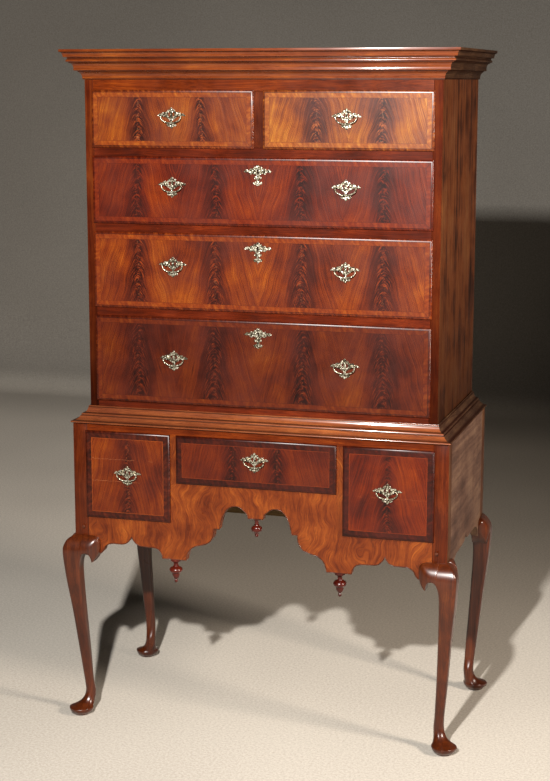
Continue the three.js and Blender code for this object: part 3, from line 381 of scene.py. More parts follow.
# painted shade: the returns of the mouldings take a darker, browner copy of the moulding wood for the light
# falling on that side
mouldingReturnShadedWood = makeBoardWood("shellackedWalnutMouldingReturn", "Y",
    ramp(spread["moulding"], "#20140e #2c1d15 #39271b #4b3625"), width=8, shine=0.3, coat=0.0, ior=1.15,
    hollows=paintedHollowShadeLevels, glaze=0.02)
upperSideWood = makeBoardWood("wornWalnutUpperSide", "Z",
    [(0.36, "#1b0f0a"), (0.45, "#361c11"), (0.52, "#522b16"), (0.60, "#55331d"), (0.70, "#704322")],
    # the foot of the upper side is painted into shade
    width=24, shine=0.4, coat=0.0, ior=1.15, footShade=(880, 1350, 0.38, 0.95),
    edge={"axis": "Y", "limit": -221.5, "stops":
          ramp(spread["rail"], "#230803 #360f04 #491a07 #5a280c")})
# painted reflection: the lower sides are greyed for the sheen of the backdrop they catch at a grazing angle
lowerSideSheenWood = makeBoardWood("wornWalnutLowerSide", "Y",
    ramp(spread["board"], "#362721 #4a362d #5b4538 #6b5543"), width=26, shine=0.45, coat=0.0, ior=1.2)
apronWood = makeFlame("flameWalnutApron",
    [(0.30, "#300f04"), (0.42, "#491a06"), (0.52, "#60290a"), (0.62, "#763a10"), (0.74, "#8e521d")])
legWood = makeBoardWood("polishedWalnutLeg", "Z",
    ramp(spread["board"], "#250b03 #341204 #431a06 #51260b"), width=12, shine=0.3, coat=0.7, ior=1.4,
    polish=0.26)
turnedWood = makeBoardWood("polishedWalnutDrop", "Z",
    ramp(spread["board"], "#200402 #300703 #3e0d05 #4e160a"), width=9, shine=0.26, coat=0.55, polish=0.22)
# painted highlight: the bead is paler and greyer than the legs, partly for the bright line along its crest
beadWood = makeBoardWood("walnutBeadPaintedHighlight", "X",
    ramp(spread["board"], "#2c1008 #3b1a10 #482619 #563327"), width=8, shine=0.25)
coreWood = makeBoardWood("plainWalnutFrontBack", "X",
    ramp(spread["board"], "#2b150a #3c2011 #4b2b17 #58361f"), width=18, shine=0.6, coat=0.0, ior=1.3)
pineStops = ramp((0.34, 0.47, 0.57, 0.70), "#4c3822 #5c482c #695436 #766243")
pineWood = makeBoardWood("barePineBack", "X", pineStops, width=22, shine=0.72, coat=0.0,
                         seams={"axis": "Z", "start": 40.0, "every": 240.0})
boxWood = makeBoardWood("barePineDrawerSide", "Y", pineStops, width=18, shine=0.72, coat=0.0)
baseWood = makeBoardWood("barePineDrawerBottom", "X", pineStops, width=20, shine=0.72, coat=0.0)
brass = makeBrass("paleAgedBrass")
iron = makeIron("oiledIron")
print("materials made")


# Small helpers for modelling

def clearSelection():
    if bpy.context.object and bpy.context.object.mode != "OBJECT":
        bpy.ops.object.mode_set(mode="OBJECT")
    bpy.ops.object.select_all(action="DESELECT")


def pick(*objects):
    clearSelection()
    for each in objects:
        each.select_set(True)
    bpy.context.view_layer.objects.active = objects[0]


def editAll(piece=None):  # edit mode with everything selected
    if piece:
        pick(piece)
    bpy.ops.object.mode_set(mode="EDIT")
    bpy.ops.mesh.select_all(action="SELECT")


def leaveEdit():
    bpy.ops.object.mode_set(mode="OBJECT")


def modify(piece, kind, **settings):
    modifier = piece.modifiers.new(kind.lower(), kind)
    for name, value in settings.items():
        setattr(modifier, name, value)
    pick(piece)
    bpy.ops.object.modifier_apply(modifier=modifier.name)


def fixNormals(piece):
    editAll(piece)
    bpy.ops.mesh.remove_doubles(threshold=0.00002)
    bpy.ops.mesh.normals_make_consistent(inside=False)
    leaveEdit()


def settle(piece, name, body, material, replaced=(), angle=35):  # names it and puts it in place
    pick(piece)
    bpy.ops.object.transform_apply(location=True, rotation=True, scale=True)
    bpy.ops.object.shade_smooth_by_angle(angle=math.radians(angle))
    piece.name = name
    piece.data.name = name
    if material:  # else it keeps those it has
        piece.data.materials.clear()
        for each in (material if isinstance(material, (list, tuple)) else [material]):
            piece.data.materials.append(each)
    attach(piece, body)
    if replaced:
        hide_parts(*replaced)
    return piece


def joinPieces(objects):
    pick(*objects)
    bpy.ops.object.join()
    return bpy.context.object


def copyOf(piece, offset=(0, 0, 0), mirror=None):  # its own mesh, mirrored and then moved in the mesh
    twin = piece.copy()
    twin.data = piece.data.copy()
    bpy.context.collection.objects.link(twin)
    pick(twin)
    if mirror:
        editAll()
        bpy.ops.transform.resize(value=mirror, center_override=(0, 0, 0))
        bpy.ops.mesh.normals_make_consistent(inside=False)
        leaveEdit()
    twin.location = Vector(offset)
    bpy.ops.object.transform_apply(location=True, rotation=True, scale=True)
    return twin


def clearLeftovers():  # sources of copies, and whatever else rides on no body
    for each in [o for o in bpy.context.scene.objects if o.type == "MESH" and body_of(o) is None]:
        bpy.data.objects.remove(each)


def traceOutline(points, closed=True):  # draws points one by one and fills the outline
    points = [Vector(p) for p in points]
    bpy.ops.mesh.primitive_plane_add(size=mm, location=points[0])
    outline = bpy.context.object
    bpy.ops.object.transform_apply(location=True, rotation=True, scale=True)
    editAll()
    bpy.ops.mesh.merge(type="CENTER")
    for here, there in zip(points, points[1:]):
        bpy.ops.mesh.extrude_vertices_move(TRANSFORM_OT_translate={"value": there - here})
    bpy.ops.mesh.select_all(action="SELECT")
    if closed:
        bpy.ops.mesh.edge_face_add()
    leaveEdit()
    return outline


def thicken(outline, offset):  # extrudes a filled outline
    editAll(outline)
    bpy.ops.mesh.extrude_region_move(TRANSFORM_OT_translate={"value": offset})
    leaveEdit()
    fixNormals(outline)
    return outline


def board(low, high, ease=0.4):  # a block between two corners in mm, its arrises eased
    low, high = Vector(low) * mm, Vector(high) * mm
    bpy.ops.mesh.primitive_cube_add(size=1, location=(low + high) / 2)
    piece = bpy.context.object
    piece.scale = high - low
    bpy.ops.object.transform_apply(location=True, rotation=True, scale=True)
    if ease:
        modify(piece, "BEVEL", width=ease * mm, segments=2, limit_method="ANGLE")
    return piece


def turn(profile, steps=36):  # spins radius and height in mm about the upright axis
    line = traceOutline([Vector((r, 0, h)) * mm for r, h in profile], closed=False)
    editAll()
    bpy.ops.mesh.spin(steps=steps, angle=2 * math.pi, center=(0, 0, 0), axis=(0, 0, 1))
    leaveEdit()
    fixNormals(line)
    return line


def rod(points, radius, sizes=None, resolution=2):  # a round bar along points in mm
    line = traceOutline([Vector(p) * mm for p in points], closed=False)
    pick(line)
    bpy.ops.object.convert(target="CURVE")
    bar = bpy.context.object
    bar.data.bevel_depth = radius * mm
    bar.data.bevel_resolution = resolution
    bar.data.use_fill_caps = True
    for point, size in zip(bar.data.splines[0].points, sizes or []):
        point.radius = size
    bpy.ops.object.convert(target="MESH")
    bar = bpy.context.object
    fixNormals(bar)
    return bar


def curvePoints(knots, steps=4):  # a soft run through the knots; a knot with a third value 1 stays sharp
    result = []
    count = len(knots)
    for i in range(count - 1):
        a, b = knots[i], knots[i + 1]
        before = knots[i - 1] if i > 0 and len(a) < 3 else a
        after = knots[i + 2] if i + 2 < count and len(b) < 3 else b
        for s in range(steps):
            t = s / steps
            t2, t3 = t * t, t * t * t
            result.append(tuple(
                0.5 * (2 * a[k] + (b[k] - before[k]) * t
                       + (2 * before[k] - 5 * a[k] + 4 * b[k] - after[k]) * t2
                       + (3 * a[k] - before[k] - 3 * b[k] + after[k]) * t3) for k in (0, 1)))
    result.append(tuple(knots[-1][:2]))
    return result


# Legs: rings from the pad foot up to the knee, bridged and subdivided; the square post stands above
centreY = (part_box("lower_side_left")[0].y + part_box("lower_side_left")[1].y) / 2
legs = {
    "caseX": 503.5, "caseY": 264.5, "postFoot": 484, "postTop": 814, "post": 39.5, "grow": 1.018,
    "peg": {"height": 534, "inset": 0.68, "proud": 0.4,
            "profile": [(0, 0), (3.4, 0), (3.9, 0.5), (3.9, 3), (0, 3)]},
    "front": {"pad": (2, 12), "ankle": (21.2, 35.6), "thicker": 0, "reach": 17},
    "back": {"pad": (7, 22), "ankle": (24.6, 38.6), "thicker": 2.5, "reach": 39.5},
    "foot": [  # height, radius, way from ankle to pad centre, tilt in degrees with the toe low
        (0, 22.4, 1, 0), (4.2, 23.2, 1, 0), (6.4, 25.6, 1, 0), (9.6, 29.6, 1, 2), (14.4, 32.4, 1, 4),
        (19, 33.4, 1, 6), (20.4, 33.3, 0.995, 6.5), (21.2, 32.5, 0.98, 7), (22, 31.4, 0.93, 7.5),
        (24, 28, 0.82, 7.5), (27.6, 23.6, 0.62, 7), (32.5, 19.2, 0.4, 5), (40, 16.2, 0.22, 3),
        (49, 14.8, 0.09, 1), (58, 14, 0.03, 0), (66, 13.7, 0, 0)],
    "shin": [  # height, out beyond the case, in from the case, corner radius as a share
        (90, -10, 34.4, 0.92), (130, -5.8, 32.8, 0.8), (180, -0.2, 29.2, 0.68), (230, 5, 25.9, 0.58),
        (280, 10, 22.5, 0.5), (330, 16, 19.6, 0.44), (380, 22.6, 17.8, 0.4), (430, 27, 16.2, 0.36),
        (455, 28.7, 23.7, 0.34), (470, 29, 35.9, 0.32), (481.5, 26.8, 39.4, 0.3), (492.5, 22, 39.4, 0.26),
        (500, 15.5, 39.4, 0.22), (506, 7, 39.4, 0.16), (508.6, 2.2, 39.4, 0.12), (509, 0.3, 39.4, 0.08)],
}


def share(value, full, none):
    return 1 - min(1, max(0, (value - full) / (none - full)))


def leanAt(height, kind):  # as the CAD legs lean
    out = share(height, 153, 331)
    if kind == "front":
        return 3.4 * out, -11 * share(height, 153, 458)
    return 0, -(26 - 12 * out) * share(height, 494, 509)


def addRing(x, y, halfX, halfY, height, corner, tilt=0):  # a rounded square of edges, in edit mode
    place = Vector((x, y, height)) * mm
    bpy.ops.mesh.primitive_plane_add(size=2 * mm, location=place)
    bpy.ops.transform.resize(value=(halfX, halfY, 1))
    bpy.ops.mesh.bevel(offset=corner * min(halfX, halfY) * mm, segments=3, affect="VERTICES", profile=0.5)
    bpy.ops.mesh.delete(type="ONLY_FACE")
    if tilt:
        turned = math.radians(tilt) / math.sqrt(2)
        bpy.ops.transform.rotate(value=-turned, orient_axis="Y", center_override=place)
        bpy.ops.transform.rotate(value=turned, orient_axis="X", center_override=place)


def makeLeg(kind):
    x0, y0 = legs["caseX"], legs["caseY"]
    data = legs[kind]
    bpy.ops.mesh.primitive_plane_add(size=mm)
    leg = bpy.context.object
    editAll()
    bpy.ops.mesh.delete(type="VERT")
    grow = legs["grow"]  # makes up for what subdividing a ring of sixteen takes off
    for height, radius, way, tilt in legs["foot"]:
        inset = [data["ankle"][i] + way * (data["pad"][i] - data["ankle"][i]) for i in (0, 1)]
        addRing(x0 - inset[0], y0 - inset[1], radius * grow, radius * grow, height, 0.985, tilt)
    for height, out, inward, corner in legs["shin"]:
        leanX, leanY = leanAt(height, kind)
        inward += data["thicker"]
        innerX = min(inward - leanX, legs["post"])
        innerY = min(inward - leanY, data["reach"] if height > 450 else legs["post"])
        outerX, outerY = out + leanX, out + leanY
        more = 1 + (grow - 1) * corner
        addRing(x0 + (outerX - innerX) / 2, y0 + (outerY - innerY) / 2, (outerX + innerX) / 2 * more,
                (outerY + innerY) / 2 * more, height, corner)
    bpy.ops.mesh.select_all(action="SELECT")
    bpy.ops.mesh.bridge_edge_loops()
    bpy.ops.mesh.select_all(action="SELECT")
    bpy.ops.mesh.fill_holes(sides=0)
    bpy.ops.mesh.normals_make_consistent(inside=False)
    leaveEdit()
    modify(leg, "SUBSURF", levels=2, render_levels=2)
    return leg


# Knee blocks: carved to the knee's swell and a rounded end, then sawn to the bracket outline
block = {
    "carved": (1.5, 150), "sawn": (1.2, 16),  # voxel in mm and rounds of smoothing
    "start": -12, "length": 96, "foot": 415, "height": 100, "behind": -20, "depth": 56,
    "face": [  # in from the case corner, height
        (20, 509, 1), (44, 509), (58, 507.4), (67, 502.8), (71.8, 495.4), (72.6, 487), (72, 480),
        (70, 467), (63.5, 452), (52, 436.5, 1), (51, 448.5), (47.2, 458), (39, 463.8), (29.7, 462),
        (21, 455, 1), (20, 430, 1)],
    "swell": [  # out from the case face, height
        (1.4, 511, 1), (10.3, 507), (17.4, 501), (23.4, 492), (27.3, 482), (29.1, 471), (28.3, 459),
        (25, 447), (19.6, 436), (11, 428, 1), (-26, 420, 1), (-26, 511, 1)],
    "plan": [  # in from the case corner, out from the case face
        (-8, 29.2, 1), (30, 29.2), (43, 28.2), (54, 24.6), (62.6, 18.6), (69.4, 10.6), (74, 1.6),
        (76.4, -8, 1), (76.4, -26, 1), (-8, -26, 1)],
    "slimPlan": [  # the side blocks of the front legs fall away sooner
        (-8, 28, 1), (6, 26.6), (20, 23.4), (34, 19), (46, 14), (57, 7.6), (66, 0), (72, -9, 1),
        (72, -26, 1), (-8, -26, 1)],
}


def makeKneeBlock(along, outline):  # at the front right corner seen as positive X and Y
    x0, y0 = legs["caseX"], legs["caseY"]

    def spot(run, out, height):
        return (x0 - run, y0 + out, height) if along == "X" else (x0 + out, y0 - run, height)

    def keepInside(piece, other, voxel, rounds):
        modify(piece, "BOOLEAN", operation="INTERSECT", object=other, solver="EXACT")
        bpy.data.objects.remove(other)
        modify(piece, "REMESH", mode="VOXEL", voxel_size=voxel * mm)
        modify(piece, "SMOOTH", factor=0.6, iterations=rounds)

    def solid(profile, run, out, rise):  # the profile drawn out this far
        trace = traceOutline([Vector(each) * mm for each in profile])
        return thicken(trace, (Vector(spot(run, out, rise)) - Vector(spot(0, 0, 0))) * mm)

    swell = [spot(block["start"], o, h) for o, h in curvePoints(block["swell"])]
    plan = [spot(r, o, block["foot"]) for r, o in curvePoints(outline)]
    face = [spot(r, block["behind"], h) for r, h in curvePoints(block["face"])]
    whole = solid(swell, block["length"], 0, 0)
    keepInside(whole, solid(plan, 0, 0, block["height"]), *block["carved"])
    keepInside(whole, solid(face, 0, block["depth"], 0), *block["sawn"])
    return whole


legSource = {kind: makeLeg(kind) for kind in ("front", "back")}
blockSource = {kind + along: makeKneeBlock(along, block[plan]) for kind, along, plan in
               [("front", "X", "plan"), ("front", "Y", "slimPlan"), ("back", "Y", "plan")]}
for name, sideX, sideY in [("front_left", -1, -1), ("front_right", 1, -1), ("back_left", -1, 1),
                           ("back_right", 1, 1)]:
    kind = "front" if sideY < 0 else "back"
    flip = (sideX, sideY, 1)
    leg = copyOf(legSource[kind], (0, centreY, 0), flip)
    settle(leg, "leg_" + name + "_shaped", "base", legWood, ["leg_" + name], 40)
    x0, y0, size = legs["caseX"], legs["caseY"], legs["post"]
    post = copyOf(board((x0 - size, y0 - size, legs["postFoot"]), (x0, y0, legs["postTop"]), 0.8),
                  (0, centreY, 0), flip)
    settle(post, "post_" + name, "base", [stileWood, stileSideSheenWood], ["leg_" + name])
    # faces turned to the sides take the stile wood with the painted reflection
    for face in post.data.polygons:
        face.material_index = 1 if abs(face.normal.x) > 0.7 else 0
    for along in ("X", "Y") if kind == "front" else ("Y",):
        bracket = copyOf(blockSource[kind + along], (0, centreY, 0), flip)
        settle(bracket, "knee_block_" + name + "_" + along.lower(), "base", legWood,
               ["leg_" + name], 60)
    if kind == "front":  # the peg that pins the apron's tenon
        data = legs["peg"]
        peg = turn(data["profile"], 16)
        peg.rotation_euler = (-math.pi / 2, 0, 0)
        x = sideX * (x0 - size * data["inset"])
        peg.location = Vector((x, centreY - y0 - data["proud"], data["height"])) * mm
        settle(peg, "peg_" + name, "base", legWood)
clearLeftovers()
print("legs made")


# Turned drops under the apron
drops = {
    "side": {"height": 461.2, "profile": [
        (0, 0, 1), (14, 0, 1), (14.2, 4), (13.6, 6.4, 1), (9, 9.5), (6.6, 12.5), (6.4, 17), (7.2, 20.3, 1),
        (9.5, 21.9, 1), (14.5, 24.6), (17, 28.5), (17.2, 31.5), (16, 35), (12.5, 38), (9.6, 39.6, 1),
        (9.8, 42), (9.3, 46), (7.9, 50), (5.6, 53.8), (3.6, 55.8, 1), (3.4, 56.6, 1), (4.3, 58.6),
        (4.5, 61), (4, 63.6), (2.4, 65.4), (0, 66, 1)]},
    "centre": {"height": 587.2, "profile": [
        (0, 0, 1), (8.6, 0, 1), (8.6, 3.4), (6.3, 5.4, 1), (5.6, 8), (5, 11), (5.1, 17.6), (6.3, 20, 1),
        (10, 21.2), (12.9, 24), (13.8, 28.4), (13.1, 32.8), (10.4, 35.9), (7.5, 37.6, 1), (6, 40),
        (3.4, 42.6, 1), (3.3, 43, 1), (4.1, 44.2), (4.5, 46.2), (3.6, 48.6), (1.8, 50.2), (0, 50.4, 1)]},
}
for name in ("left", "centre", "right"):
    data = drops["centre" if name == "centre" else "side"]
    low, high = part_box("pendant_" + name)
    drop = turn([(r, -h) for r, h in curvePoints(data["profile"], 3)])
    drop.location = ((low.x + high.x) / 2, (low.y + high.y) / 2, data["height"] * mm)
    settle(drop, "turned_drop_" + name, "base", turnedWood, ["pendant_" + name], 50)
print("drops made")


# Apron edge: the thin bead bent round the scallops, half sunk in the front
bead = {"radius": 1.2, "run": [  # lines (x, z) and curves (through x, z to x, z), from the middle out
    (20.5, 587.5), (20.5, 600, 31, 606), (42, 617.3, 54, 617.3), (74, 617.3, 85, 596), (94, 580, 98, 553),
    (113, 553), (112, 528, 128, 514), (138, 508, 157, 504), (188, 497, 190.2, 461.5), (256.2, 461.5),
    (260, 489, 284, 489), (316, 490), (334, 492, 343, 513.3), (352, 492, 372, 491.5), (396, 491.5),
    (414, 490, 420, 478), (424, 466, 432, 462)]}


def beadPoints():
    points = [(0.0, 587.5)]
    for step in bead["run"]:
        here = points[-1]
        if len(step) == 2:
            points.append(step)
            continue
        for i in range(1, 7):
            t = i / 6
            points.append(tuple((1 - t) ** 2 * here[k] + 2 * t * (1 - t) * step[k] + t * t * step[k + 2]
                                for k in (0, 1)))
    return points


edgeRun = beadPoints()
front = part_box("front_apron")[0].y / mm
beadSide = rod([(x, front - 0.2, z - 0.4) for x, z in edgeRun], bead["radius"])
otherSide = copyOf(beadSide, (0, 0, 0), (-1, 1, 1))
settle(joinPieces([beadSide, otherSide]), "apron_bead", "base", beadWood, [], 60)
print("bead made")


# Mouldings: a profile drawn in section, run along each side and mitred at the front corners
mouldings = {
    "waist_moulding": {
        "profile": [
            (39.3, 0, 1), (41.4, 2.2), (39.6, 5.4), (36.2, 5.5, 1), (30.5, 7.6), (24, 12.2), (20.6, 17.5, 1),
            (19, 17.5, 1), (19, 20), (17.6, 23), (15.5, 24, 1), (12, 24, 1), (8.3, 28), (5.6, 33.4),
            (4.6, 38.5, 1), (3.6, 38.6, 1), (3.5, 42, 1), (0, 42, 1), (0, 0, 1)],
        "height": 814, "halfX": 466.5, "frontY": -231.0, "body": "base"},
    "cornice": {
        "profile": [
            (3.2, 0, 1), (3.2, 2, 1), (4.2, 2, 1), (4.9, 9), (7.6, 15), (13.4, 19.5, 1), (13.5, 21.4, 1),
            (16.9, 21.5, 1), (20.3, 22.4), (21.6, 24.9), (20.8, 28.5), (21.5, 31, 1), (22.4, 35.8),
            (25.6, 40), (30.4, 41.5, 1), (30.5, 43.5, 1), (33.6, 43.6), (36.2, 45.4), (35.6, 48.8),
            (33, 51.5, 1), (33.6, 54.5), (36.6, 55.5), (40.4, 55.6, 1), (41.5, 58, 1), (42, 62.5),
            (44.6, 66.6), (48, 68.4, 1), (49.4, 68.5, 1), (49.4, 75.4, 1), (0, 75.4, 1), (0, 0, 1)],
        "height": 1704.5, "halfX": 466.1, "frontY": -230.6, "body": "upper_case"},
}


def makeMoulding(name, data, reach=60, arris=0.35):  # cut from lengths that reach past the corners
    halfX, frontY, base = data["halfX"], data["frontY"], data["height"]
    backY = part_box(name)[1].y / mm - centreY / mm
    section = curvePoints(data["profile"], 3)
    front = traceOutline([Vector((-halfX - reach, frontY - p, base + h)) * mm for p, h in section])
    thicken(front, Vector((2 * (halfX + reach), 0, 0)) * mm)
    sides = []
    for sign in (-1, 1):
        run = traceOutline([Vector((sign * (halfX + p), frontY - reach, base + h)) * mm for p, h in section])
        thicken(run, Vector((0, backY - frontY + reach, 0)) * mm)
        sides.append(run)
    for piece, sign, keepSide in [(front, -1, False), (front, 1, False), (sides[0], -1, True),
                                  (sides[1], 1, True)]:
        editAll(piece)
        # the mitre plane stands at the case corner, turned 45 degrees
        normal = Vector((sign, 1, 0)).normalized()
        bpy.ops.mesh.bisect(plane_co=Vector((sign * halfX, frontY, 0)) * mm, plane_no=normal, use_fill=True,
                            clear_inner=keepSide, clear_outer=not keepSide)
        leaveEdit()
    for piece in (front, *sides):
        fixNormals(piece)
        modify(piece, "BEVEL", width=arris * mm, segments=2, limit_method="ANGLE",
               angle_limit=math.radians(38))
    front.data.materials.append(corniceWood)
    # the returns take the moulding wood with the painted shade
    for each in sides:
        each.data.materials.append(mouldingReturnShadedWood)
    whole = joinPieces([front, *sides])
    whole.location.y = centreY
    settle(whole, name + "_run", data["body"], None, [name], 35)


for name, data in mouldings.items():
    makeMoulding(name, data)
print("mouldings made")


# Drawers: a veneered front with a thumbnail lip on a plain core, and behind it a dovetailed pine box
drawer = {
    "proud": 7, "gap": 0.3, "thumbnail": [  # inset and rise of each step
        (0.01, 1.6), (0.7, 1.7), (1.6, 1.55), (2.3, 0.8), (1.75, 0.2), (0.02, 0.8)],
    "inward": 5.5, "up": 4.3, "under": 6, "core": 15.3, "lap": 7.65, "side": 12, "drop": 5, "panel": 8,
    "pins": 5, "pinFront": 5, "pinBack": 10, "keyhole": (30.5, 2.6, 2.8, 9.5),
    "slot": (8.4, 4.6, 10.4, 17.3), "lock": (29, 42, 4),
}


def cut(piece, cutter, keep=False):
    modify(piece, "BOOLEAN", operation="DIFFERENCE", object=cutter, solver="EXACT")
    if not keep:
        bpy.data.objects.remove(cutter)


def makeSlab(low, high):
    y = low.y + drawer["proud"] - drawer["gap"]
    middle = Vector(((low.x + high.x) / 2, y, (low.z + high.z) / 2)) * mm
    bpy.ops.mesh.primitive_plane_add(size=1, location=middle, rotation=(math.pi / 2, 0, 0))
    slab = bpy.context.object
    slab.scale = ((high.x - low.x) * mm, (high.z - low.z) * mm, 1)
    bpy.ops.object.transform_apply(location=True, rotation=True, scale=True)
    editAll()
    for inset, rise in drawer["thumbnail"]:
        bpy.ops.mesh.inset(thickness=inset * mm, depth=0, use_even_offset=True)
        bpy.ops.transform.translate(value=(0, -rise * mm, 0))
    bpy.ops.mesh.select_mode(type="EDGE")
    bpy.ops.mesh.select_all(action="DESELECT")
    bpy.ops.mesh.select_non_manifold()
    bpy.ops.mesh.edge_face_add()
    bpy.ops.mesh.select_mode(type="VERT")
    leaveEdit()
    fixNormals(slab)
    return slab


def makePins(x, outward, y, length, low, high):  # end grain between the tails, on a side board's face
    pitch = (high - low) / drawer["pins"]
    made = []
    for i in range(drawer["pins"]):
        z = low + pitch * (i + 0.5)
        wide, thin = drawer["pinBack"] / 2, drawer["pinFront"] / 2
        outline = [(y, z - thin), (y + length, z - wide), (y + length, z + wide), (y, z + thin)]
        pin = traceOutline([Vector((x, py, pz)) * mm for py, pz in outline])
        made.append(thicken(pin, Vector((outward * 0.12, 0, 0)) * mm))
    return made


def makeDrawer(node):
    low, high = [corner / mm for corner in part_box(node)]
    face, rear = low.y + drawer["proud"], high.y
    left, right = low.x + drawer["inward"], high.x - drawer["inward"]
    foot, crown = low.z + drawer["up"], high.z - drawer["under"]
    inner, wall, top = face + drawer["core"], drawer["side"], crown - drawer["drop"]
    slab = makeSlab(low, high)
    core = board((left + 0.05, face - 0.25, foot), (right - 0.05, inner, crown), 0)
    if "long" in node:
        fall, radius, width, drop = drawer["keyhole"]
        eye = Vector((0, face, high.z - fall)) * mm
        bpy.ops.mesh.primitive_cylinder_add(vertices=20, radius=radius * mm, depth=0.08, location=eye,
                                            rotation=(math.pi / 2, 0, 0))
        hole = bpy.context.object
        key = board((-width / 2, face - 40, high.z - fall - drop), (width / 2, face + 40, high.z - fall), 0)
        for piece in (slab, core):
            cut(piece, key, keep=True)
            cut(piece, hole, keep=True)
        half, front, back, deep = drawer["slot"]
        cut(core, board((-half, face + front, crown - deep), (half, face + back, crown + 5), 0))
        half, deep, thick = drawer["lock"]
        case = board((-half, inner - 0.1, crown - deep), (half, inner + thick, crown), 0.5)
        cut(case, key)
        cut(case, hole)
        settle(case, node + "_lock_case", node, iron)
    veneer = makeVeneer(node, fronts[node], *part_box(node))
    settle(slab, node + "_front", node, veneer, [node], 40)
    settle(core, node + "_core", node, coreWood, [node])
    y, lap = face + drawer["lap"], drawer["core"] - drawer["lap"]
    floor = foot + drawer["panel"]
    above = floor + drawer["panel"]
    boards = {
        "side_left": board((left, y, foot + 0.05), (left + wall, rear, top)),
        "side_right": board((right - wall, y, foot + 0.05), (right, rear, top)),
        "back": board((left + 0.1, rear - wall, above), (right - 0.1, rear - 0.05, top - 0.2)),
        "bottom": board((left + wall / 2, y, floor), (right - wall / 2, rear - 0.1, above), 0)}
    for part, piece in boards.items():
        settle(piece, node + "_" + part, node, baseWood if part in ("back", "bottom") else boxWood,
               [node])
    pins = []
    for x, outward in ((left, -1), (right, 1)):
        pins += makePins(x, outward, y, lap, foot + 4, top - 4)
        pins += [copyOf(each, (0, (rear + y) * mm, 0), (1, -1, 1)) for each in
                 makePins(x, outward, y, wall, above, top - 4)]
    settle(joinPieces(pins), node + "_dovetails", node, coreWood, [node])


for node in fronts:
    makeDrawer(node)
clearLeftovers()
print("drawers made")


# Bail handles: cast rods, thick at the foot of the swing and thin at the eyes
bail = {"half": 27, "drop": 19.8, "radius": 2.1, "run": [
    (0, -1, 1), (0.34, -0.96, 0.98), (0.68, -0.8, 0.92), (0.86, -0.63, 0.88), (0.96, -0.42, 0.82),
    (1, -0.24, 0.78), (0.97, -0.12, 0.75), (0.9, -0.04, 0.73), (0.82, 0, 0.7), (0.76, 0, 0.6),
    (0.54, 0, 0.56)]}


def makeBail(node):
    low, high = [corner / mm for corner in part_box(node)]
    x, y, z = (low.x + high.x) / 2, (low.y + high.y) / 2, low.z + bail["drop"] + bail["radius"]
    half = [(x + u * bail["half"], y, z + v * bail["drop"]) for u, v, size in bail["run"]]
    other = [(2 * x - u, y, v) for u, y, v in half[1:]]
    sizes = [size for u, v, size in bail["run"]]
    handle = rod(other[::-1] + half, bail["radius"], sizes[:0:-1] + sizes, 3)
    settle(handle, node + "_cast", node, brass, [node], 60)


for node in [name for name in nodes if name.startswith("bail_")]:
    makeBail(node)
print("bails made")


# Floor and wall: one pale cloth sweep that falls into shade up the wall and toward the camera
stageSizes = {"wall": 4.5, "front": -6.0, "half": 7.0, "height": 4.5, "bend": 0.4}
shades = {  # place in mm and the share of light, from and to
    "wallFoot": (0, 110, 1.0, 0.5), "wall": (110, 2400, 1.0, 0.74), "floor": (-1000, 3400, 0.86, 1.5),
    "bend": (3300, 4150, 1.0, 0.74)}
bpy.ops.mesh.primitive_plane_add(size=1, location=(0, (stageSizes["wall"] + stageSizes["front"]) / 2, 0))
sweep = bpy.context.object
sweep.scale = (2 * stageSizes["half"], stageSizes["wall"] - stageSizes["front"], 1)
bpy.ops.object.transform_apply(location=True, rotation=True, scale=True)
bpy.ops.object.mode_set(mode="EDIT")
bpy.ops.mesh.select_mode(type="EDGE")
bpy.ops.mesh.select_all(action="DESELECT")
leaveEdit()
for edge in sweep.data.edges:
    edge.select = all(sweep.data.vertices[v].co.y > stageSizes["wall"] - 0.01 for v in edge.vertices)
bpy.ops.object.mode_set(mode="EDIT")
bpy.ops.mesh.extrude_region_move(TRANSFORM_OT_translate={"value": (0, 0, stageSizes["height"])})
leaveEdit()
sweep.name = "clothSweep"
modify(sweep, "BEVEL", width=stageSizes["bend"], segments=16, limit_method="ANGLE")
bpy.ops.object.shade_smooth()
cloth, tree, shader, place = startMaterial("paleClothSweep", Roughness=0.95)
weave = noise(tree, place, 7, 3.0, 0.85)
folds = noise(tree, place, 900, 1.0)
tone = put(tree, "ValToRGB", [weigh(tree, (weave, 0.8), (folds, 0.2))], stops=[
    (0.36, "#9a9389"), (0.64, "#bbb4a9")])
up = put(tree, "SeparateXYZ", [place], out=2)
deep = put(tree, "SeparateXYZ", [place], out=1)
shade = ranged(tree, up, *shades["wallFoot"], "SMOOTHSTEP")
shade = calc(tree, "MULTIPLY", shade, ranged(tree, up, *shades["wall"]))
shade = calc(tree, "MULTIPLY", shade, ranged(tree, deep, *shades["floor"]))
shade = calc(tree, "MULTIPLY", shade, ranged(tree, deep, *shades["bend"], "SMOOTHSTEP"))
tone = blend(tree, 1.0, tone, put(tree, "CombineXYZ", [shade] * 3), "MULTIPLY")
connect(tree, shader, tone, None, weave, 0.4)
sweep.data.materials.append(cloth)

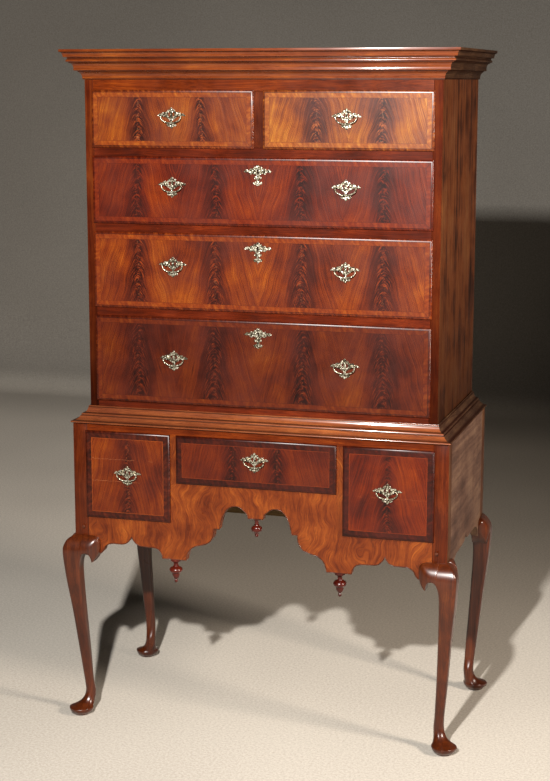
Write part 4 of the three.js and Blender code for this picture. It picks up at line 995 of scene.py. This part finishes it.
# Lights: a small hard key high before the middle and a weaker warm one low on the right, in a dim room
lights = {
    "key": {"place": (0.40, -3.64, 2.48), "aim": (0, 0, 0.8), "size": 0.09, "power": 385, "tint": "#fffcf8"},
    "side": {"place": (3.1, -1.15, 1.85), "aim": (0, 0, 0.75), "size": 0.6, "power": 44, "tint": "#fff1e2",
             "spread": 85},
}
for name, data in lights.items():
    lamp = bpy.data.lights.new(name, "AREA")
    lamp.size = data["size"]
    lamp.energy = data["power"]
    lamp.spread = math.radians(data.get("spread", 180))
    lamp.color = paint(data["tint"])[:3]
    holder = bpy.data.objects.new(name, lamp)
    bpy.context.collection.objects.link(holder)
    holder.location = data["place"]
    holder.rotation_euler = (Vector(data["aim"]) - Vector(data["place"])).to_track_quat("-Z", "Y").to_euler()
world = bpy.data.worlds.new("dimRoom")
bpy.context.scene.world = world
world.use_nodes = True
world.node_tree.nodes["Background"].inputs["Color"].default_value = paint("#f0ebe4")
world.node_tree.nodes["Background"].inputs["Strength"].default_value = 0.01

# Camera, as fitted to the photograph
view = {"azimuth": 0.2870, "elevation": 0.1808, "distance": 4.4918, "target": (0, -0.0771, 0.8936),
        "lens": 78.11}
eye = bpy.data.cameras.new("viewpoint")
eye.sensor_fit = "VERTICAL"
eye.sensor_height = 36
eye.lens = view["lens"]
camera = bpy.data.objects.new("viewpoint", eye)
bpy.context.collection.objects.link(camera)
a, e = view["azimuth"], view["elevation"]
camera.location = Vector(view["target"]) + view["distance"] * Vector(
    (math.sin(a) * math.cos(e), -math.cos(a) * math.cos(e), math.sin(e)))
camera.rotation_euler = (math.pi / 2 - e, 0, a)
bpy.context.scene.camera = camera
bpy.context.scene.view_settings.view_transform = "Standard"

# Finishes of the CAD pieces that show as they are, their arrises eased
eased = {"drawer_blade": 0.8, "upper_top_rail": 0.8, "lower_top_rail": 0.8, "top_drawer_divider": 0.8,
         "front_apron": 0.6, "upper_side": 1.0, "lower_side": 1.0, "pull_plate": 0.35, "escutcheon": 0.35,
         "upper_top": 0.8, "upper_bottom": 0.8, "lock_bolt": 0.4}
finishes = [  # the first whose start fits the name
    ("upper_side", upperSideWood), ("lower_side", lowerSideSheenWood), ("front_apron", apronWood),
    (("upper_back", "lower_back"), pineWood), (("pull", "bail", "escutcheon"), brass), ("lock", iron),
    (("pendant", "leg"), legWood), ("top_drawer_divider", stileWood),
    (("upper_top_rail", "lower_top_rail"), friezeWood), ("drawer_blade", caseWood), ("drawer_", coreWood),
    ("", caseWood)]
for node in nodes.values():
    node.data.materials.clear()
    name = node.name
    finish = next(wood for starts, wood in finishes if name.startswith(starts))
    node.data.materials.append(finish)
    for start, width in eased.items():
        if name.startswith(start):
            weld = node.modifiers.new("weld", "WELD")
            weld.merge_threshold = 0.02 * mm
            ease = node.modifiers.new("ease", "BEVEL")
            ease.width = width * mm
            ease.segments = 2
            ease.limit_method = "ANGLE"
            ease.angle_limit = math.radians(50)
print("finishes given")
